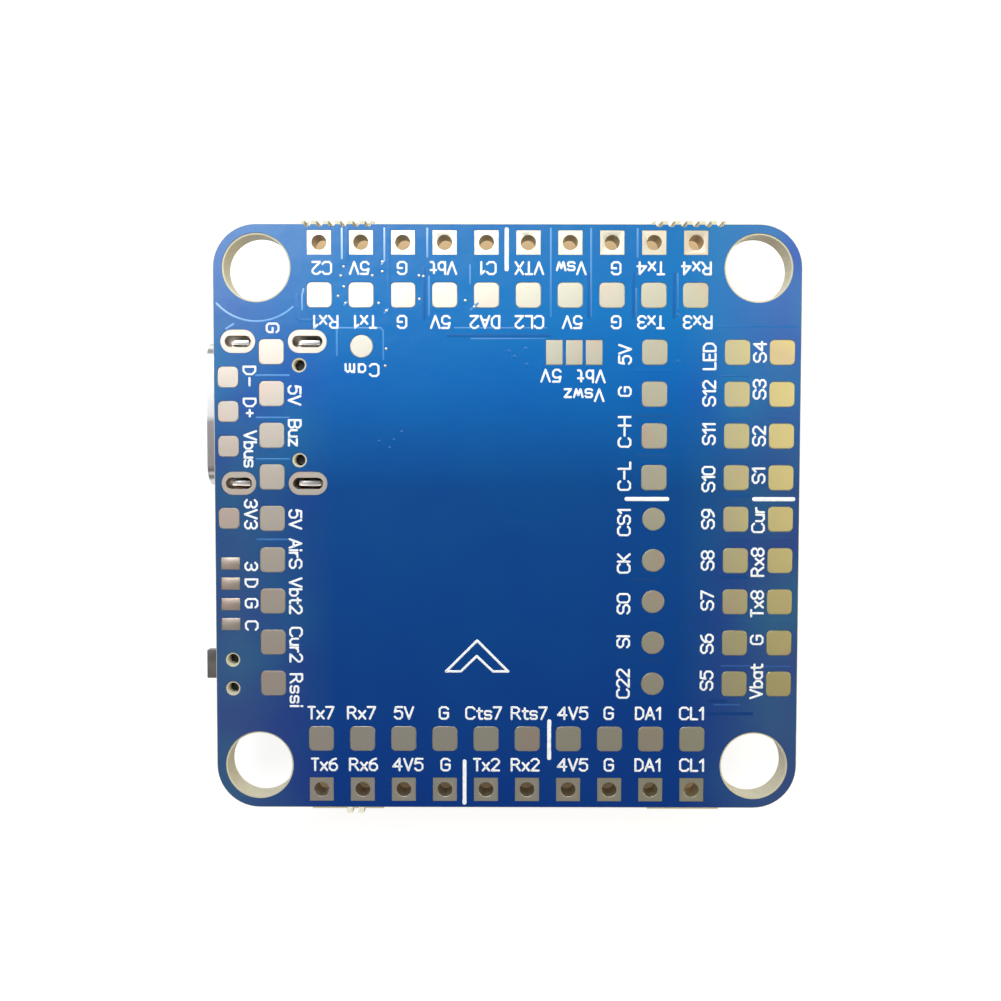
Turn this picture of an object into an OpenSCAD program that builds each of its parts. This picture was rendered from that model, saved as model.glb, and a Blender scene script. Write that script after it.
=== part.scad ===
// Square flight controller board for a small multirotor or model aircraft.
// The frame: origin at the middle of the four mounting holes, on the laminate's solder-pad face.
// +Z points out of the solder-pad face, +Y is the direction of flight and +X is to its right.
// The parts stand on the far face, below z = 0, and are drawn upside down through on_part_side().

/* [Board] */
// Width of the square board
board_w = 35.8; // [35.4:0.1:36.4]
// Thickness of the laminate
board_t = 1.6; // [1.2:0.1:2]
// Spacing of the mounting holes, centre to centre
hole_spacing = 30.5; // [30.4:0.1:30.6]
// Diameter of the mounting holes, which take a rubber grommet or a 4 mm sleeve
hole_d = 4; // [3.2:0.1:4.2]

/* [Solder pads] */
// Spacing of the solder pads along a row
pitch = 2.54; // [2.5:0.01:2.6]
// Width of a square wire pad
pad_w = 1.52; // [1.4:0.02:1.7]
// Width of the square ring around a wire hole
ring_w = 1.45; // [1.3:0.05:1.7]
// Bore of a wire hole
wire_hole_d = 0.9; // [0.8:0.05:1]

/* [Sockets] */
// How far the USB shell stands out past the board's edge
usb_overhang = 0.9; // [0.6:0.1:1.4]
// Where the USB socket's middle lies along the board's side
usb_y = 6.47; // [6.3:0.01:6.6]
// Ways in the speed controller socket
esc_ways = 8; // [6:1:8]
// Ways in the video socket
video_ways = 6; // [4:1:6]
// Ways in the data bus socket
can_ways = 4; // [3:1:4]

/* [Boot button] */
// How far the button stands out past the board's edge
button_overhang = 1.15; // [0.8:0.05:1.2]
// How far the button travels
button_travel = 0.2; // [0.1:0.05:0.2]

/* [Hidden] */
$fn = 32;

half_w = board_w / 2;
hole_at = hole_spacing / 2;
copper_t = 0.05;
mask_t = 0.03;
pad_mask_t = 0.07; // it lies over a copper pour, so it stands higher than the bare pads
mask_gap = 0.02;
mask_inset = 0.05;
hole_mask_gap = 0.1;
pad_corner_r = 0.3;
cut = 0.01; // how far a cutting shape runs past the face it opens

// Rows of wire pads: across the front and rear edges, and down the two sides.
row_count = 10;
outer_row_y = 6.6 * pitch;
inner_row_y = 13.6;
column_count = 9;
left_column_x = -14.37;
bus_column_x = 8.97;
bus_square_count = 4;
inner_column_x = 14;
outer_column_x = 16.73;
signal_pad_d = 1.38;
camera_pad_at = [-8.87, 10.5];
barrel_wall = 0.03;
wire_drill_r = wire_hole_d / 2 + barrel_wall + cut;

// Pads along the left edge: four for the USB wires and 3.3 V, and four small ones for a probe.
edge_x = -17.02;
edge_pad_w = 1.26;
edge_pad_y = [8.62, 6.53, 4.41, 0];
probe_pad_y = [-2.77, -4.01, -5.28, -6.51];
probe_pad_x = -16.96;
probe_pad_size = [1.14, 0.74];
jumper_pad_x = [2.86, 4.07, 5.28];
jumper_pad_y = 10.14;
jumper_pad_size = [1, 1.5];

// Stubs of the four tabs that held the board in its panel. The front pair was snapped off along a
// row of small holes, and the rear pair was filed down.
tab_at = [[-10.3, 1], [11.05, 1], [-9.8, -1], [10.9, -1]];
tab_w = 4.4;
front_stub = 0.18;
rear_stub = 0.08;
bite_d = 0.44;
bite_pitch = 0.74;
bite_count = 6;
burr_at = [-9.68, -8.98];
burr_w = 0.34;
burr_reach = 0.33;
burr_rise = 0.1; // how far a torn fibre end stands above the solder-pad face

// USB socket: a steel tube open at the board's left edge, on four legs through plated slots.
usb_size = [7.35, 8.94, 3.2];
usb_wall = 0.3;
usb_corner_r = 1.25;
usb_mouth_x = -(half_w + usb_overhang);
usb_mid_h = usb_size[2] / 2;
usb_block_at = 5;
usb_block_end = 7.1;
usb_cut_at = 5.5;
usb_cut_w = 7.2;
usb_tongue = [0.9, 6.7, 0.7];
usb_contact_count = 12;
usb_contact_pitch = 0.5;
usb_contact_w = 0.26;
usb_contact_t = 0.1;
usb_plate_t = 0.16;
usb_peg_at = [6.12, 2.89];
usb_peg_d = 0.5;
usb_peg_hole_d = 0.7;
leg_t = 0.3;
leg_y = usb_size[1] / 2 - leg_t / 2;
slot_w = 0.7;
slot_ring = [0.25, 0.35]; // past the slot's ends, and past its sides
slot_at = [2.4, 6.63]; // from the mouth
slot_length = [1.6, 1.85];
leg_w = [1.1, 1.3];
leg_end = 0.55; // how far the legs stop short of the solder-pad face

// Boot button: a side-push switch with two locating bosses.
switch_at = [-16.25, -9.6];
switch_size = [2.8, 3.5, 1.3];
switch_front = switch_at[0] - switch_size[0] / 2;
boss_at = [-16.86, 0.89];
boss_d = 0.6;
boss_hole_d = 0.7;
button_size = [2.4, 1.8, 0.66];
button_h = 0.72;
button_y = -9.4;
button_lug = [0.4, 2.3];
button_gap = 0.06;
button_tip = -(half_w + button_overhang);
lug_at = switch_front + 0.5;
dome_r = 0.72;
dome_rise = 0.22;
dome_t = 0.07;
dome_gap = 0.06;
dome_base_x = button_tip + button_size[0] + button_travel + dome_gap + dome_rise + dome_t;

// Memory card socket: a steel cover over a plastic tray, with its mouth towards the rear edge.
card_size = [11.9, 11.4, 1.42];
card_mouth_y = -15.4;
card_back_y = card_mouth_y + card_size[1];
card_sheet = 0.15;
card_floor = 0.35;
card_contact_count = 8;
card_contact_pitch = 1.1;
card_contact_w = 0.5;
card_contact_t = 0.12;

// Side-entry sockets on a 1 mm pitch.
socket_depth = 4.25;
socket_h = 2.95;
socket_wall = 0.5;
socket_pin = [0.3, 0.2];
socket_pin_h = 1.25;
socket_foot = 0.65;
esc_y = -4.9;
can_y = 4.4;
video_y = -2.9;

// Chips, given as [length, width, height] of the moulded body.
processor_at = [1.5, 5];
processor_w = 8;
ball_pitch = 0.8;
ball_rows = 10;
ball_d = 0.4;
ball_h = 0.25;
substrate_h = 0.3;
cap_h = 0.5;
overlay_at = [-4, 12.7];
overlay_size = [9.7, 4.4, 0.95];
overlay_lead_pitch = 0.65;
overlay_leads_a_side = 14;
transceiver_at = [9.7, 4.4];
transceiver_size = [4.9, 3.9, 1.4];
transceiver_lead_pitch = 1.27;
transceiver_leads_a_side = 4;
small_chip_size = [2.9, 1.6, 0.95];
small_lead_pitch = 0.95;
small_leads_a_side = 3;
buck_at = [10.9, 11];
regulator_at = [[9.6, -1.2], [-9.4, -6]];
transistor_at = [[8.3, -8.6], [11.3, -8.6], [-9.4, -9.2]];
transistor_size = [2.9, 1.3, 0.9];
motion_sensor_at = [[-6.6, 7.2], [-6.6, 3.4]];
motion_sensor_size = [3, 2.5, 0.86];
pressure_at = [-8.8, -1.4];
pressure_size = [2.5, 2, 0.35];
pressure_lid_h = 0.5;
crystal_at = [[0.8, -1.4], [-11, 13]];
crystal_size = [3.2, 2.5, 0.45];
crystal_lid_h = 0.25;
inductor_at = [6.4, 12.6];
inductor_w = 4;
inductor_h = 2;
inductor_lift = 0.1;
led_at = [[-12, -13.2], [-10.1, -13.2], [-8.2, -13.2]];
led_size = [1.6, 0.8, 0.3];
led_lens = [1, 0.8, 0.35];
lead_t = 0.15;
lift = 0.1; // gap under a chip's body

// Passive parts. Each row is [first x, first y, step x, step y, count, turn].
small_chip_part = [1, 0.5, 0.35];
small_terminal = 0.2;
resistor_rows = [
    [-9.6, 2.6, 0, 0.95, 8, 0],
    [-5.4, -1.4, 0.9, 0, 4, 90],
    [7.4, -3.6, 0.9, 0, 5, 90],
    [-11.6, -3.6, 0.9, 0, 6, 90]
];
capacitor_rows = [
    [6.4, 1.4, 0, 0.95, 8, 0],
    [-3.4, 1.4, 0, 0.95, 8, 0],
    [3.4, -1.4, 0.9, 0, 4, 90],
    [7.6, -13.8, 0.9, 0, 5, 90],
    [-11.6, -11.4, 0.9, 0, 5, 90]
];
power_part = [3.2, 1.6, 1.4];
power_terminal = 0.45;
power_capacitor_at = [[2.7, 12.6, 90], [10.2, 14.6, 0], [8.6, -11.4, 0], [8.9, -5.7, 0]];
diode_at = [11.9, -5.9, 90];
diode_size = [2.7, 1.6, 1];
diode_terminal = 0.35;

// ---------- helpers ----------

// A rectangle about the origin with round corners.
module soft_rect(size, r, steps = 4) {
    corner = [[1, 1, 0], [-1, 1, 90], [-1, -1, 180], [1, -1, 270]];
    polygon([
        for (c = corner)
            for (i = [0:steps])
                [c[0] * (size[0] / 2 - r) + r * cos(c[2] + i * 90 / steps),
                 c[1] * (size[1] / 2 - r) + r * sin(c[2] + i * 90 / steps)]
    ]);
}

// Turns the children over onto the part side: their z = 0 is the face of the component lands.
module on_part_side() {
    translate([0, 0, -(board_t + copper_t)]) mirror([0, 0, 1]) children();
}

// A box centred in x and y, standing on z.
module block(size, at = [0, 0, 0]) {
    translate([at[0] - size[0] / 2, at[1] - size[1] / 2, at[2]]) cube(size);
}

module at_four_corners(at) {
    for (sx = [-1, 1]) for (sy = [-1, 1]) translate([sx * at, sy * at]) children();
}

// Places of every part in rows of passive parts, as [x, y, turn].
function row_places(rows) = [
    for (r = rows)
        for (i = [0:r[4] - 1])
            [r[0] + i * r[2], r[1] + i * r[3], r[5]]
];

module at_places(places) {
    for (p = places) translate([p[0], p[1], 0]) rotate([0, 0, p[2]]) children();
}

// ---------- board outline and pad places ----------

module board_outline(inset = 0) {
    flat = hole_at;
    edge = half_w - inset;
    polygon([
        [flat, -edge], [edge, -flat], [edge, flat], [flat, edge],
        [-flat, edge], [-edge, flat], [-edge, -flat], [-flat, -edge]
    ]);
    at_four_corners(hole_at) circle(r = edge - flat, $fn = 96);
}

module tab_bites() {
    for (t = tab_at)
        if (t[1] > 0)
            for (i = [0:bite_count - 1])
                translate([t[0] + (i - (bite_count - 1) / 2) * bite_pitch, half_w + cut])
                    circle(d = bite_d);
}

module tab_stubs() {
    for (t = tab_at) {
        stub = t[1] > 0 ? front_stub : rear_stub;
        translate([t[0], t[1] * half_w]) square([tab_w, 2 * stub], center = true);
    }
}

// Torn fibre ends left on one stub. They stop short of the mask, which they stand above.
module tab_burrs() {
    for (x = burr_at)
        translate([x - burr_w / 2, -half_w - burr_reach, -board_t / 2])
            cube([burr_w, burr_reach + mask_inset / 2, board_t / 2 + burr_rise]);
}

module at_wire_holes() {
    for (side = [-1, 1])
        for (i = [0:row_count - 1])
            translate([(i - (row_count - 1) / 2) * pitch, side * outer_row_y]) children();
}

function column_y(i) = ((column_count - 1) / 2 - i) * pitch;

module at_square_pads() {
    for (side = [-1, 1])
        for (i = [0:row_count - 1])
            translate([(i - (row_count - 1) / 2) * pitch, side * inner_row_y]) children();
    for (x = [left_column_x, inner_column_x, outer_column_x])
        for (i = [0:column_count - 1])
            translate([x, column_y(i)]) children();
    for (i = [0:bus_square_count - 1]) translate([bus_column_x, column_y(i)]) children();
}

module at_round_pads() {
    for (i = [bus_square_count:column_count - 1]) translate([bus_column_x, column_y(i)]) children();
    translate(camera_pad_at) children();
}

module edge_pad_shapes(grow = 0) {
    wide = edge_pad_w + 2 * grow;
    for (y = edge_pad_y) translate([edge_x, y]) soft_rect([wide, wide], pad_corner_r);
    for (y = probe_pad_y)
        translate([probe_pad_x, y])
            square([probe_pad_size[0] + 2 * grow, probe_pad_size[1] + 2 * grow], center = true);
}

module jumper_pad_shapes(grow = 0) {
    for (x = jumper_pad_x)
        translate([x, jumper_pad_y])
            square([jumper_pad_size[0] + 2 * grow, jumper_pad_size[1] + 2 * grow], center = true);
}

// The plated slots for the USB shell's legs, each grown past its ends and past its sides.
module slot_shapes(grow) {
    for (i = [0:1])
        for (side = [-1, 1])
            translate([usb_mouth_x + slot_at[i], usb_y + side * leg_y])
                soft_rect([slot_length[i] + 2 * grow[0], slot_w + 2 * grow[1]], slot_w / 2 + grow[1], 8);
}

module locating_holes(grow = 0) {
    for (side = [-1, 1]) {
        translate([usb_mouth_x + usb_peg_at[0], usb_y + side * usb_peg_at[1]])
            circle(d = usb_peg_hole_d + 2 * grow);
        translate([boss_at[0], switch_at[1] + side * boss_at[1]]) circle(d = boss_hole_d + 2 * grow);
    }
}

// ---------- board ----------

module laminate() {
    color("tan") {
        translate([0, 0, -board_t])
            linear_extrude(board_t)
                difference() {
                    union() {
                        board_outline();
                        tab_stubs();
                    }
                    tab_bites();
                    at_four_corners(hole_at) circle(d = hole_d, $fn = 96);
                    at_wire_holes() circle(r = wire_drill_r);
                    slot_shapes([barrel_wall + cut, barrel_wall + cut]);
                    locating_holes();
                }
        tab_burrs();
    }
}

// Everything that opens both faces of the solder mask.
module through_openings() {
    at_four_corners(hole_at) circle(d = hole_d + 2 * hole_mask_gap, $fn = 96);
    locating_holes(hole_mask_gap);
    slot_shapes(slot_ring + [mask_gap, mask_gap]);
    tab_bites();
}

module pad_side_mask() {
    open_w = pad_w + 2 * mask_gap;
    color("royalblue")
        linear_extrude(pad_mask_t)
            difference() {
                board_outline(mask_inset);
                through_openings();
                at_wire_holes() square(ring_w + 2 * mask_gap, center = true);
                at_square_pads() soft_rect([open_w, open_w], pad_corner_r);
                at_round_pads() circle(d = signal_pad_d + 2 * mask_gap);
                edge_pad_shapes(mask_gap);
                jumper_pad_shapes(mask_gap);
            }
}

module part_side_mask() {
    color("royalblue")
        translate([0, 0, -board_t - mask_t])
            linear_extrude(mask_t)
                difference() {
                    board_outline(mask_inset);
                    through_openings();
                    at_wire_holes() circle(d = ring_w + 2 * mask_gap);
                    land_openings();
                }
}

module square_wire_pads() {
    color("wheat") linear_extrude(copper_t) at_square_pads() soft_rect([pad_w, pad_w], pad_corner_r);
}

module round_signal_pads() {
    color("wheat") linear_extrude(copper_t) at_round_pads() circle(d = signal_pad_d);
}

module edge_pads() {
    color("wheat") linear_extrude(copper_t) edge_pad_shapes();
}

module jumper_pads() {
    color("wheat") linear_extrude(copper_t) jumper_pad_shapes();
}

// Plated wire holes: a sleeve with a square ring on the pad side and a round one on the part side.
module header_barrels() {
    sleeve_d = wire_hole_d + 2 * barrel_wall;
    color("wheat")
        at_wire_holes()
            difference() {
                union() {
                    translate([-ring_w / 2, -ring_w / 2, 0]) cube([ring_w, ring_w, copper_t]);
                    translate([0, 0, -board_t]) cylinder(d = sleeve_d, h = board_t + copper_t / 2);
                    translate([0, 0, -board_t - copper_t]) cylinder(d = ring_w, h = copper_t);
                }
                translate([0, 0, -board_t - 1]) cylinder(d = wire_hole_d, h = board_t + 2);
            }
}

module anchor_barrels() {
    color("wheat")
        difference() {
            union() {
                linear_extrude(copper_t) slot_shapes(slot_ring);
                translate([0, 0, -board_t]) linear_extrude(board_t) slot_shapes([barrel_wall, barrel_wall]);
                translate([0, 0, -board_t - mask_t]) linear_extrude(mask_t) slot_shapes(slot_ring);
            }
            translate([0, 0, -board_t - 1]) linear_extrude(board_t + 2) slot_shapes([0, 0]);
        }
}

// ---------- USB socket ----------

// Puts the children at the USB mouth: x runs into the socket and y across it.
module at_usb() {
    on_part_side() translate([usb_mouth_x, usb_y, 0]) children();
}

// A tube section of the USB shell, with its axis along x.
module usb_section(inset, from, to) {
    size = [usb_size[1] - 2 * inset, usb_size[2] - 2 * inset];
    translate([from, 0, usb_mid_h])
        rotate([90, 0, 90])
            linear_extrude(to - from) soft_rect(size, usb_corner_r - inset, 8);
}

module usb_shell() {
    leg_top = usb_mid_h;
    leg_h = leg_top + board_t + copper_t - leg_end;
    color("silver")
        at_usb() {
            difference() {
                usb_section(0, 0, usb_size[0]);
                usb_section(usb_wall, -1, usb_size[0] + 1);
                block([4, usb_cut_w, 1], [usb_cut_at + 2, 0, -0.5]);
            }
            for (i = [0:1])
                for (side = [-1, 1])
                    block([leg_w[i], leg_t, leg_h], [slot_at[i], side * leg_y, leg_top - leg_h]);
        }
}

// The contacts on the tongue's two faces, those on the board side running on to feet at the back.
module usb_contact_shapes() {
    near_h = usb_mid_h - usb_tongue[2] / 2;
    far_h = usb_mid_h + usb_tongue[2] / 2;
    contact_at = 1.4;
    back = usb_size[0] + 0.1;
    foot = 0.75;
    for (i = [0:usb_contact_count - 1])
        translate([0, (i - (usb_contact_count - 1) / 2) * usb_contact_pitch - usb_contact_w / 2, 0]) {
            translate([contact_at, 0, near_h]) cube([back - contact_at, usb_contact_w, usb_contact_t]);
            translate([back - usb_contact_t, 0, 0])
                cube([usb_contact_t, usb_contact_w, near_h + usb_contact_t]);
            translate([back - usb_contact_t, 0, 0]) cube([foot, usb_contact_w, usb_contact_t]);
            translate([contact_at, 0, far_h - usb_contact_t])
                cube([usb_block_at + 1 - contact_at, usb_contact_w, usb_contact_t]);
        }
}

module usb_plate_shape() {
    start = 1.15;
    block([usb_block_end - 0.6 - start, usb_tongue[1] + 2 * cut, usb_plate_t],
        [(usb_block_end - 0.6 + start) / 2, 0, usb_mid_h - usb_plate_t / 2]);
}

module usb_insulator() {
    fit = 0.04;
    foot_h = usb_wall + fit;
    color("dimgray")
        at_usb() {
            difference() {
                union() {
                    usb_section(usb_wall + fit, usb_block_at, usb_block_end);
                    block([usb_block_at - usb_tongue[0] + 1, usb_tongue[1], usb_tongue[2]],
                        [(usb_block_at + usb_tongue[0] + 1) / 2, 0, usb_mid_h - usb_tongue[2] / 2]);
                    block([usb_block_end - usb_cut_at - 0.1, usb_cut_w - 0.2, foot_h + 0.5],
                        [(usb_block_end + usb_cut_at + 0.1) / 2, 0, 0]);
                }
                usb_contact_shapes();
                usb_plate_shape();
            }
            for (side = [-1, 1])
                translate([usb_peg_at[0], side * usb_peg_at[1], -1]) cylinder(d = usb_peg_d, h = 1.2);
        }
}

module usb_contacts() {
    color("gold") at_usb() usb_contact_shapes();
}

module usb_midplate() {
    color("silver") at_usb() usb_plate_shape();
}

// ---------- boot button ----------

module switch_base() {
    well = [dome_base_x + 0.1 - lug_at, button_lug[1] + 2 * button_gap];
    channel_h = button_size[2] + 2 * button_gap;
    channel_z = button_h - channel_h / 2;
    color("dimgray")
        on_part_side() {
            difference() {
                block(switch_size, [switch_at[0], switch_at[1], 0]);
                translate([switch_front - 1, button_y - button_size[1] / 2 - button_gap, channel_z])
                    cube([2, button_size[1] + 2 * button_gap, channel_h]);
                translate([lug_at - button_gap, button_y - well[1] / 2, channel_z])
                    cube([well[0] + button_gap, well[1], channel_h]);
            }
            for (side = [-1, 1])
                translate([boss_at[0], switch_at[1] + side * boss_at[1], -0.8]) cylinder(d = boss_d, h = 1);
        }
}

module switch_button() {
    color("gray")
        on_part_side()
            translate([0, button_y, button_h - button_size[2] / 2]) {
                translate([button_tip, -button_size[1] / 2, 0]) cube(button_size);
                translate([lug_at, -button_lug[1] / 2, 0])
                    cube([button_lug[0], button_lug[1], button_size[2]]);
            }
}

// A thin sprung disc that bows towards the button.
module switch_dome() {
    steps = 6;
    ball_r = (dome_r * dome_r + dome_rise * dome_rise) / (2 * dome_rise);
    spread = asin(dome_r / ball_r);
    height = min(dome_r, button_size[2] / 2);
    function arc(r, i) = r * [sin(i * spread / steps), cos(i * spread / steps)];
    color("silver")
        on_part_side()
            translate([dome_base_x, button_y, button_h])
                rotate([0, -90, 0])
                    intersection() {
                        translate([0, 0, dome_rise - ball_r])
                            rotate_extrude($fn = 48)
                                polygon(concat(
                                    [for (i = [0:steps]) arc(ball_r, i)],
                                    [for (i = [steps:-1:0]) arc(ball_r + dome_t, i)]
                                ));
                        block([2 * height, 3 * dome_r, 2], [0, 0, -1]);
                    }
}

module switch_cover() {
    sheet = 0.1;
    clip_w = 1;
    color("silver")
        on_part_side() {
            block([switch_size[0], switch_size[1] + 2 * sheet, sheet],
                [switch_at[0], switch_at[1], switch_size[2]]);
            for (side = [-1, 1])
                block([clip_w, sheet, 1], [switch_at[0], switch_at[1] + side * (switch_size[1] + sheet) / 2,
                    switch_size[2] - 1 + sheet / 2]);
        }
}

module switch_terminal_places() {
    for (sx = [-1, 1])
        for (sy = [-1, 1])
            translate([switch_at[0] + sx, switch_at[1] + sy * (switch_size[1] / 2 + 0.15), 0]) children();
}

module switch_terminals() {
    color("silver") on_part_side() switch_terminal_places() block([0.6, 0.3, lead_t]);
}

// ---------- memory card socket ----------

module card_cover() {
    window = [1.2, 4.6];
    tongue = [0.6, 4];
    side_x = card_size[0] / 2 - card_sheet / 2;
    top = card_size[2] - card_sheet;
    foot = [1.1, 1.4];
    color("silver")
        on_part_side()
            translate([0, card_mouth_y, 0]) {
                difference() {
                    block([card_size[0], card_size[1], card_sheet], [0, card_size[1] / 2, top]);
                    block([6.4, 2, 1], [0, 0, top - 0.5]);
                    for (side = [-1, 1])
                        difference() {
                            block([window[0], window[1], 1], [side * 2.6, 6, top - 0.5]);
                            block([tongue[0], tongue[1], 1], [side * 2.6, 6.4, top - 0.5]);
                        }
                }
                for (side = [-1, 1]) {
                    block([card_sheet, card_size[1], top + card_sheet / 2],
                        [side * side_x, card_size[1] / 2, 0]);
                    for (y = [1.6, card_size[1] - 1.6])
                        block([foot[0], foot[1], card_sheet], [side * (side_x + foot[0] / 2), y, 0]);
                }
            }
}

module at_card_contacts() {
    first_x = -0.6 - (card_contact_count - 1) / 2 * card_contact_pitch;
    for (i = [0:card_contact_count - 1])
        translate([first_x + i * card_contact_pitch, card_back_y, 0]) children();
}

// One sprung contact: a foot behind the socket, a flat run under its floor, and a rising finger.
module card_contact_shape() {
    foot = 0.8;
    run = 4.2;
    finger = 2.6;
    slope = 18;
    block([card_contact_w, foot + run, card_contact_t], [0, foot - (foot + run) / 2, 0]);
    translate([0, -run + card_contact_t / 2, 0])
        rotate([-slope, 0, 0])
            block([card_contact_w, finger, card_contact_t], [0, -finger / 2, 0]);
}

module card_tray() {
    tray = [card_size[0] - 2 * card_sheet - 0.06, card_size[1] - 0.9, card_floor];
    back_wall = 1;
    slot = [card_contact_w + 0.16, 6.6];
    slot_from = 2.2;
    mid = card_mouth_y + 0.5 + tray[1] / 2;
    color("dimgray")
        on_part_side()
            difference() {
                union() {
                    block(tray, [0, mid, 0]);
                    block([tray[0], back_wall, card_size[2] - card_sheet - 0.03],
                        [0, mid + tray[1] / 2 - back_wall / 2, 0]);
                    block([0.5, tray[1], card_size[2] - card_sheet - 0.03], [(tray[0] - 0.5) / 2, mid, 0]);
                }
                at_card_contacts() {
                    block([slot[0], slot[1], card_floor + 1], [0, -slot_from - slot[1] / 2, -0.5]);
                    block([slot[0], 2 * slot_from + 0.2, card_contact_t + 0.04], [0, 0, -cut]);
                }
                translate([-5.3, card_mouth_y + 1.2, -0.5]) cube([0.36, 7.6, 1.5]);
            }
}

module card_contacts() {
    color("gold") on_part_side() at_card_contacts() card_contact_shape();
}

// Two thin blades that touch when a card is in.
module card_detect_contacts() {
    blade = [0.12, 3, 0.7];
    color("gold")
        on_part_side()
            for (y = [1.6, 5.4])
                translate([-5.12, card_mouth_y + y + blade[1] / 2, 0.02]) block(blade);
}

// ---------- side-entry sockets ----------

// Puts the children at the middle of a socket's mouth: y points out of it and x runs across it.
module at_esc() {
    on_part_side() translate([half_w, esc_y, 0]) rotate([0, 0, -90]) children();
}

module at_can() {
    on_part_side() translate([half_w, can_y, 0]) rotate([0, 0, -90]) children();
}

module at_video() {
    on_part_side() translate([-half_w, video_y, 0]) rotate([0, 0, 90]) children();
}

function socket_w(ways) = ways + 2;

module socket_contact_shapes(ways) {
    back = -socket_depth - 0.02;
    reach = 3;
    for (i = [0:ways - 1])
        translate([i - (ways - 1) / 2, back, 0]) {
            block([socket_pin[0], reach + socket_pin[1], socket_pin[1]],
                [0, (reach - socket_pin[1]) / 2, socket_pin_h]);
            block([socket_pin[0], socket_pin[1], socket_pin_h + socket_pin[1]], [0, -socket_pin[1] / 2, 0]);
            block([socket_pin[0], socket_foot, socket_pin[1]], [0, -socket_foot / 2, 0]);
        }
}

module socket_tab_shapes(ways) {
    for (side = [-1, 1]) {
        block([0.5, 1.5, 0.2], [side * (socket_w(ways) / 2 + 0.05), -1.5, 0]);
        block([0.2, 1.5, 1.6], [side * (socket_w(ways) / 2 - 0.1), -1.5, 0]);
    }
}

module socket_housing(ways) {
    w = socket_w(ways);
    back_wall = 0.9;
    key = [0.6, 1.6, 0.5];
    difference() {
        block([w, socket_depth, socket_h], [0, -socket_depth / 2, 0]);
        block([w - 2 * socket_wall, 2 * (socket_depth - back_wall), socket_h - 2 * socket_wall],
            [0, 0, socket_wall]);
        for (side = [-1, 1])
            block([key[0], 2 * key[1], 1], [side * (w / 2 - 1.1), 0, socket_h - key[2]]);
        for (side = [-1, 1])
            block([0.24, 1.6, 1.7], [side * (w / 2 - 0.1), -1.5, -0.01]);
        socket_contact_shapes(ways);
    }
}

module esc_socket() {
    color("ivory") at_esc() socket_housing(esc_ways);
}

module can_socket() {
    color("ivory") at_can() socket_housing(can_ways);
}

module video_socket() {
    color("ivory") at_video() socket_housing(video_ways);
}

module esc_contacts() {
    color("silver") at_esc() socket_contact_shapes(esc_ways);
}

module can_contacts() {
    color("silver") at_can() socket_contact_shapes(can_ways);
}

module video_contacts() {
    color("silver") at_video() socket_contact_shapes(video_ways);
}

module socket_anchor_tabs() {
    color("silver") {
        at_esc() socket_tab_shapes(esc_ways);
        at_can() socket_tab_shapes(can_ways);
        at_video() socket_tab_shapes(video_ways);
    }
}

// ---------- chips ----------

// A moulded package, widest at half its height.
module moulded_body(size, lifted = lift) {
    draft = 0.12;
    h = size[2];
    function side(w) = [
        [-w / 2 + draft, 0], [w / 2 - draft, 0], [w / 2, h / 2],
        [w / 2 - draft, h], [-w / 2 + draft, h], [-w / 2, h / 2]
    ];
    translate([0, 0, lifted])
        intersection() {
            rotate([90, 0, 90])
                translate([0, 0, -size[0]]) linear_extrude(2 * size[0]) polygon(side(size[1]));
            rotate([90, 0, 0])
                translate([0, 0, -size[1]]) linear_extrude(2 * size[1]) polygon(side(size[0]));
        }
}

// A gull-wing lead that leaves a body's side at y = from, at half its height.
module gull_lead(from, h, w, reach) {
    mid = lift + h / 2;
    knee = from + reach * 0.4;
    translate([w / 2, 0, 0])
        rotate([90, 0, -90])
            linear_extrude(w)
                polygon([
                    [-from, mid + lead_t / 2], [-from, mid - lead_t / 2], [-knee + lead_t, mid - lead_t / 2],
                    [-knee, 0], [-from - reach, 0], [-from - reach, lead_t],
                    [-knee - lead_t, lead_t], [-knee, mid + lead_t / 2]
                ]);
}

// Both rows of leads of a package, along its long sides.
module lead_rows(size, count, step, w, reach) {
    for (side = [0, 180])
        rotate([0, 0, side])
            for (i = [0:count - 1])
                translate([(i - (count - 1) / 2) * step, 0, 0]) gull_lead(size[1] / 2, size[2], w, reach);
}

module at_chip(at, turn = 0) {
    on_part_side() translate([at[0], at[1], 0]) rotate([0, 0, turn]) children();
}

module processor_cap() {
    color("#202224")
        at_chip(processor_at)
            translate([0, 0, ball_h + substrate_h]) block([processor_w - 0.4, processor_w - 0.4, cap_h]);
}

module processor_substrate() {
    color("darkgreen") at_chip(processor_at) block([processor_w, processor_w, substrate_h], [0, 0, ball_h]);
}

module at_balls() {
    for (i = [0:ball_rows - 1])
        for (j = [0:ball_rows - 1])
            translate([(i - (ball_rows - 1) / 2) * ball_pitch, (j - (ball_rows - 1) / 2) * ball_pitch, 0])
                children();
}

module processor_balls() {
    color("silver") at_chip(processor_at) at_balls() cylinder(d = ball_d, h = ball_h, $fn = 16);
}

module overlay_chip() {
    color("#202224") at_chip(overlay_at) moulded_body(overlay_size);
}

module overlay_chip_leads() {
    color("silver")
        at_chip(overlay_at) lead_rows(overlay_size, overlay_leads_a_side, overlay_lead_pitch, 0.25, 0.95);
}

module can_transceiver() {
    color("#202224") at_chip(transceiver_at) moulded_body(transceiver_size);
}

module can_transceiver_leads() {
    color("silver")
        at_chip(transceiver_at)
            lead_rows(transceiver_size, transceiver_leads_a_side, transceiver_lead_pitch, 0.42, 1.05);
}

module buck_regulator() {
    color("#202224") at_chip(buck_at) moulded_body(small_chip_size);
}

module buck_regulator_leads() {
    color("silver")
        at_chip(buck_at) lead_rows(small_chip_size, small_leads_a_side, small_lead_pitch, 0.4, 0.6);
}

module linear_regulators() {
    color("#202224") for (p = regulator_at) at_chip(p) moulded_body(small_chip_size);
}

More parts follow.
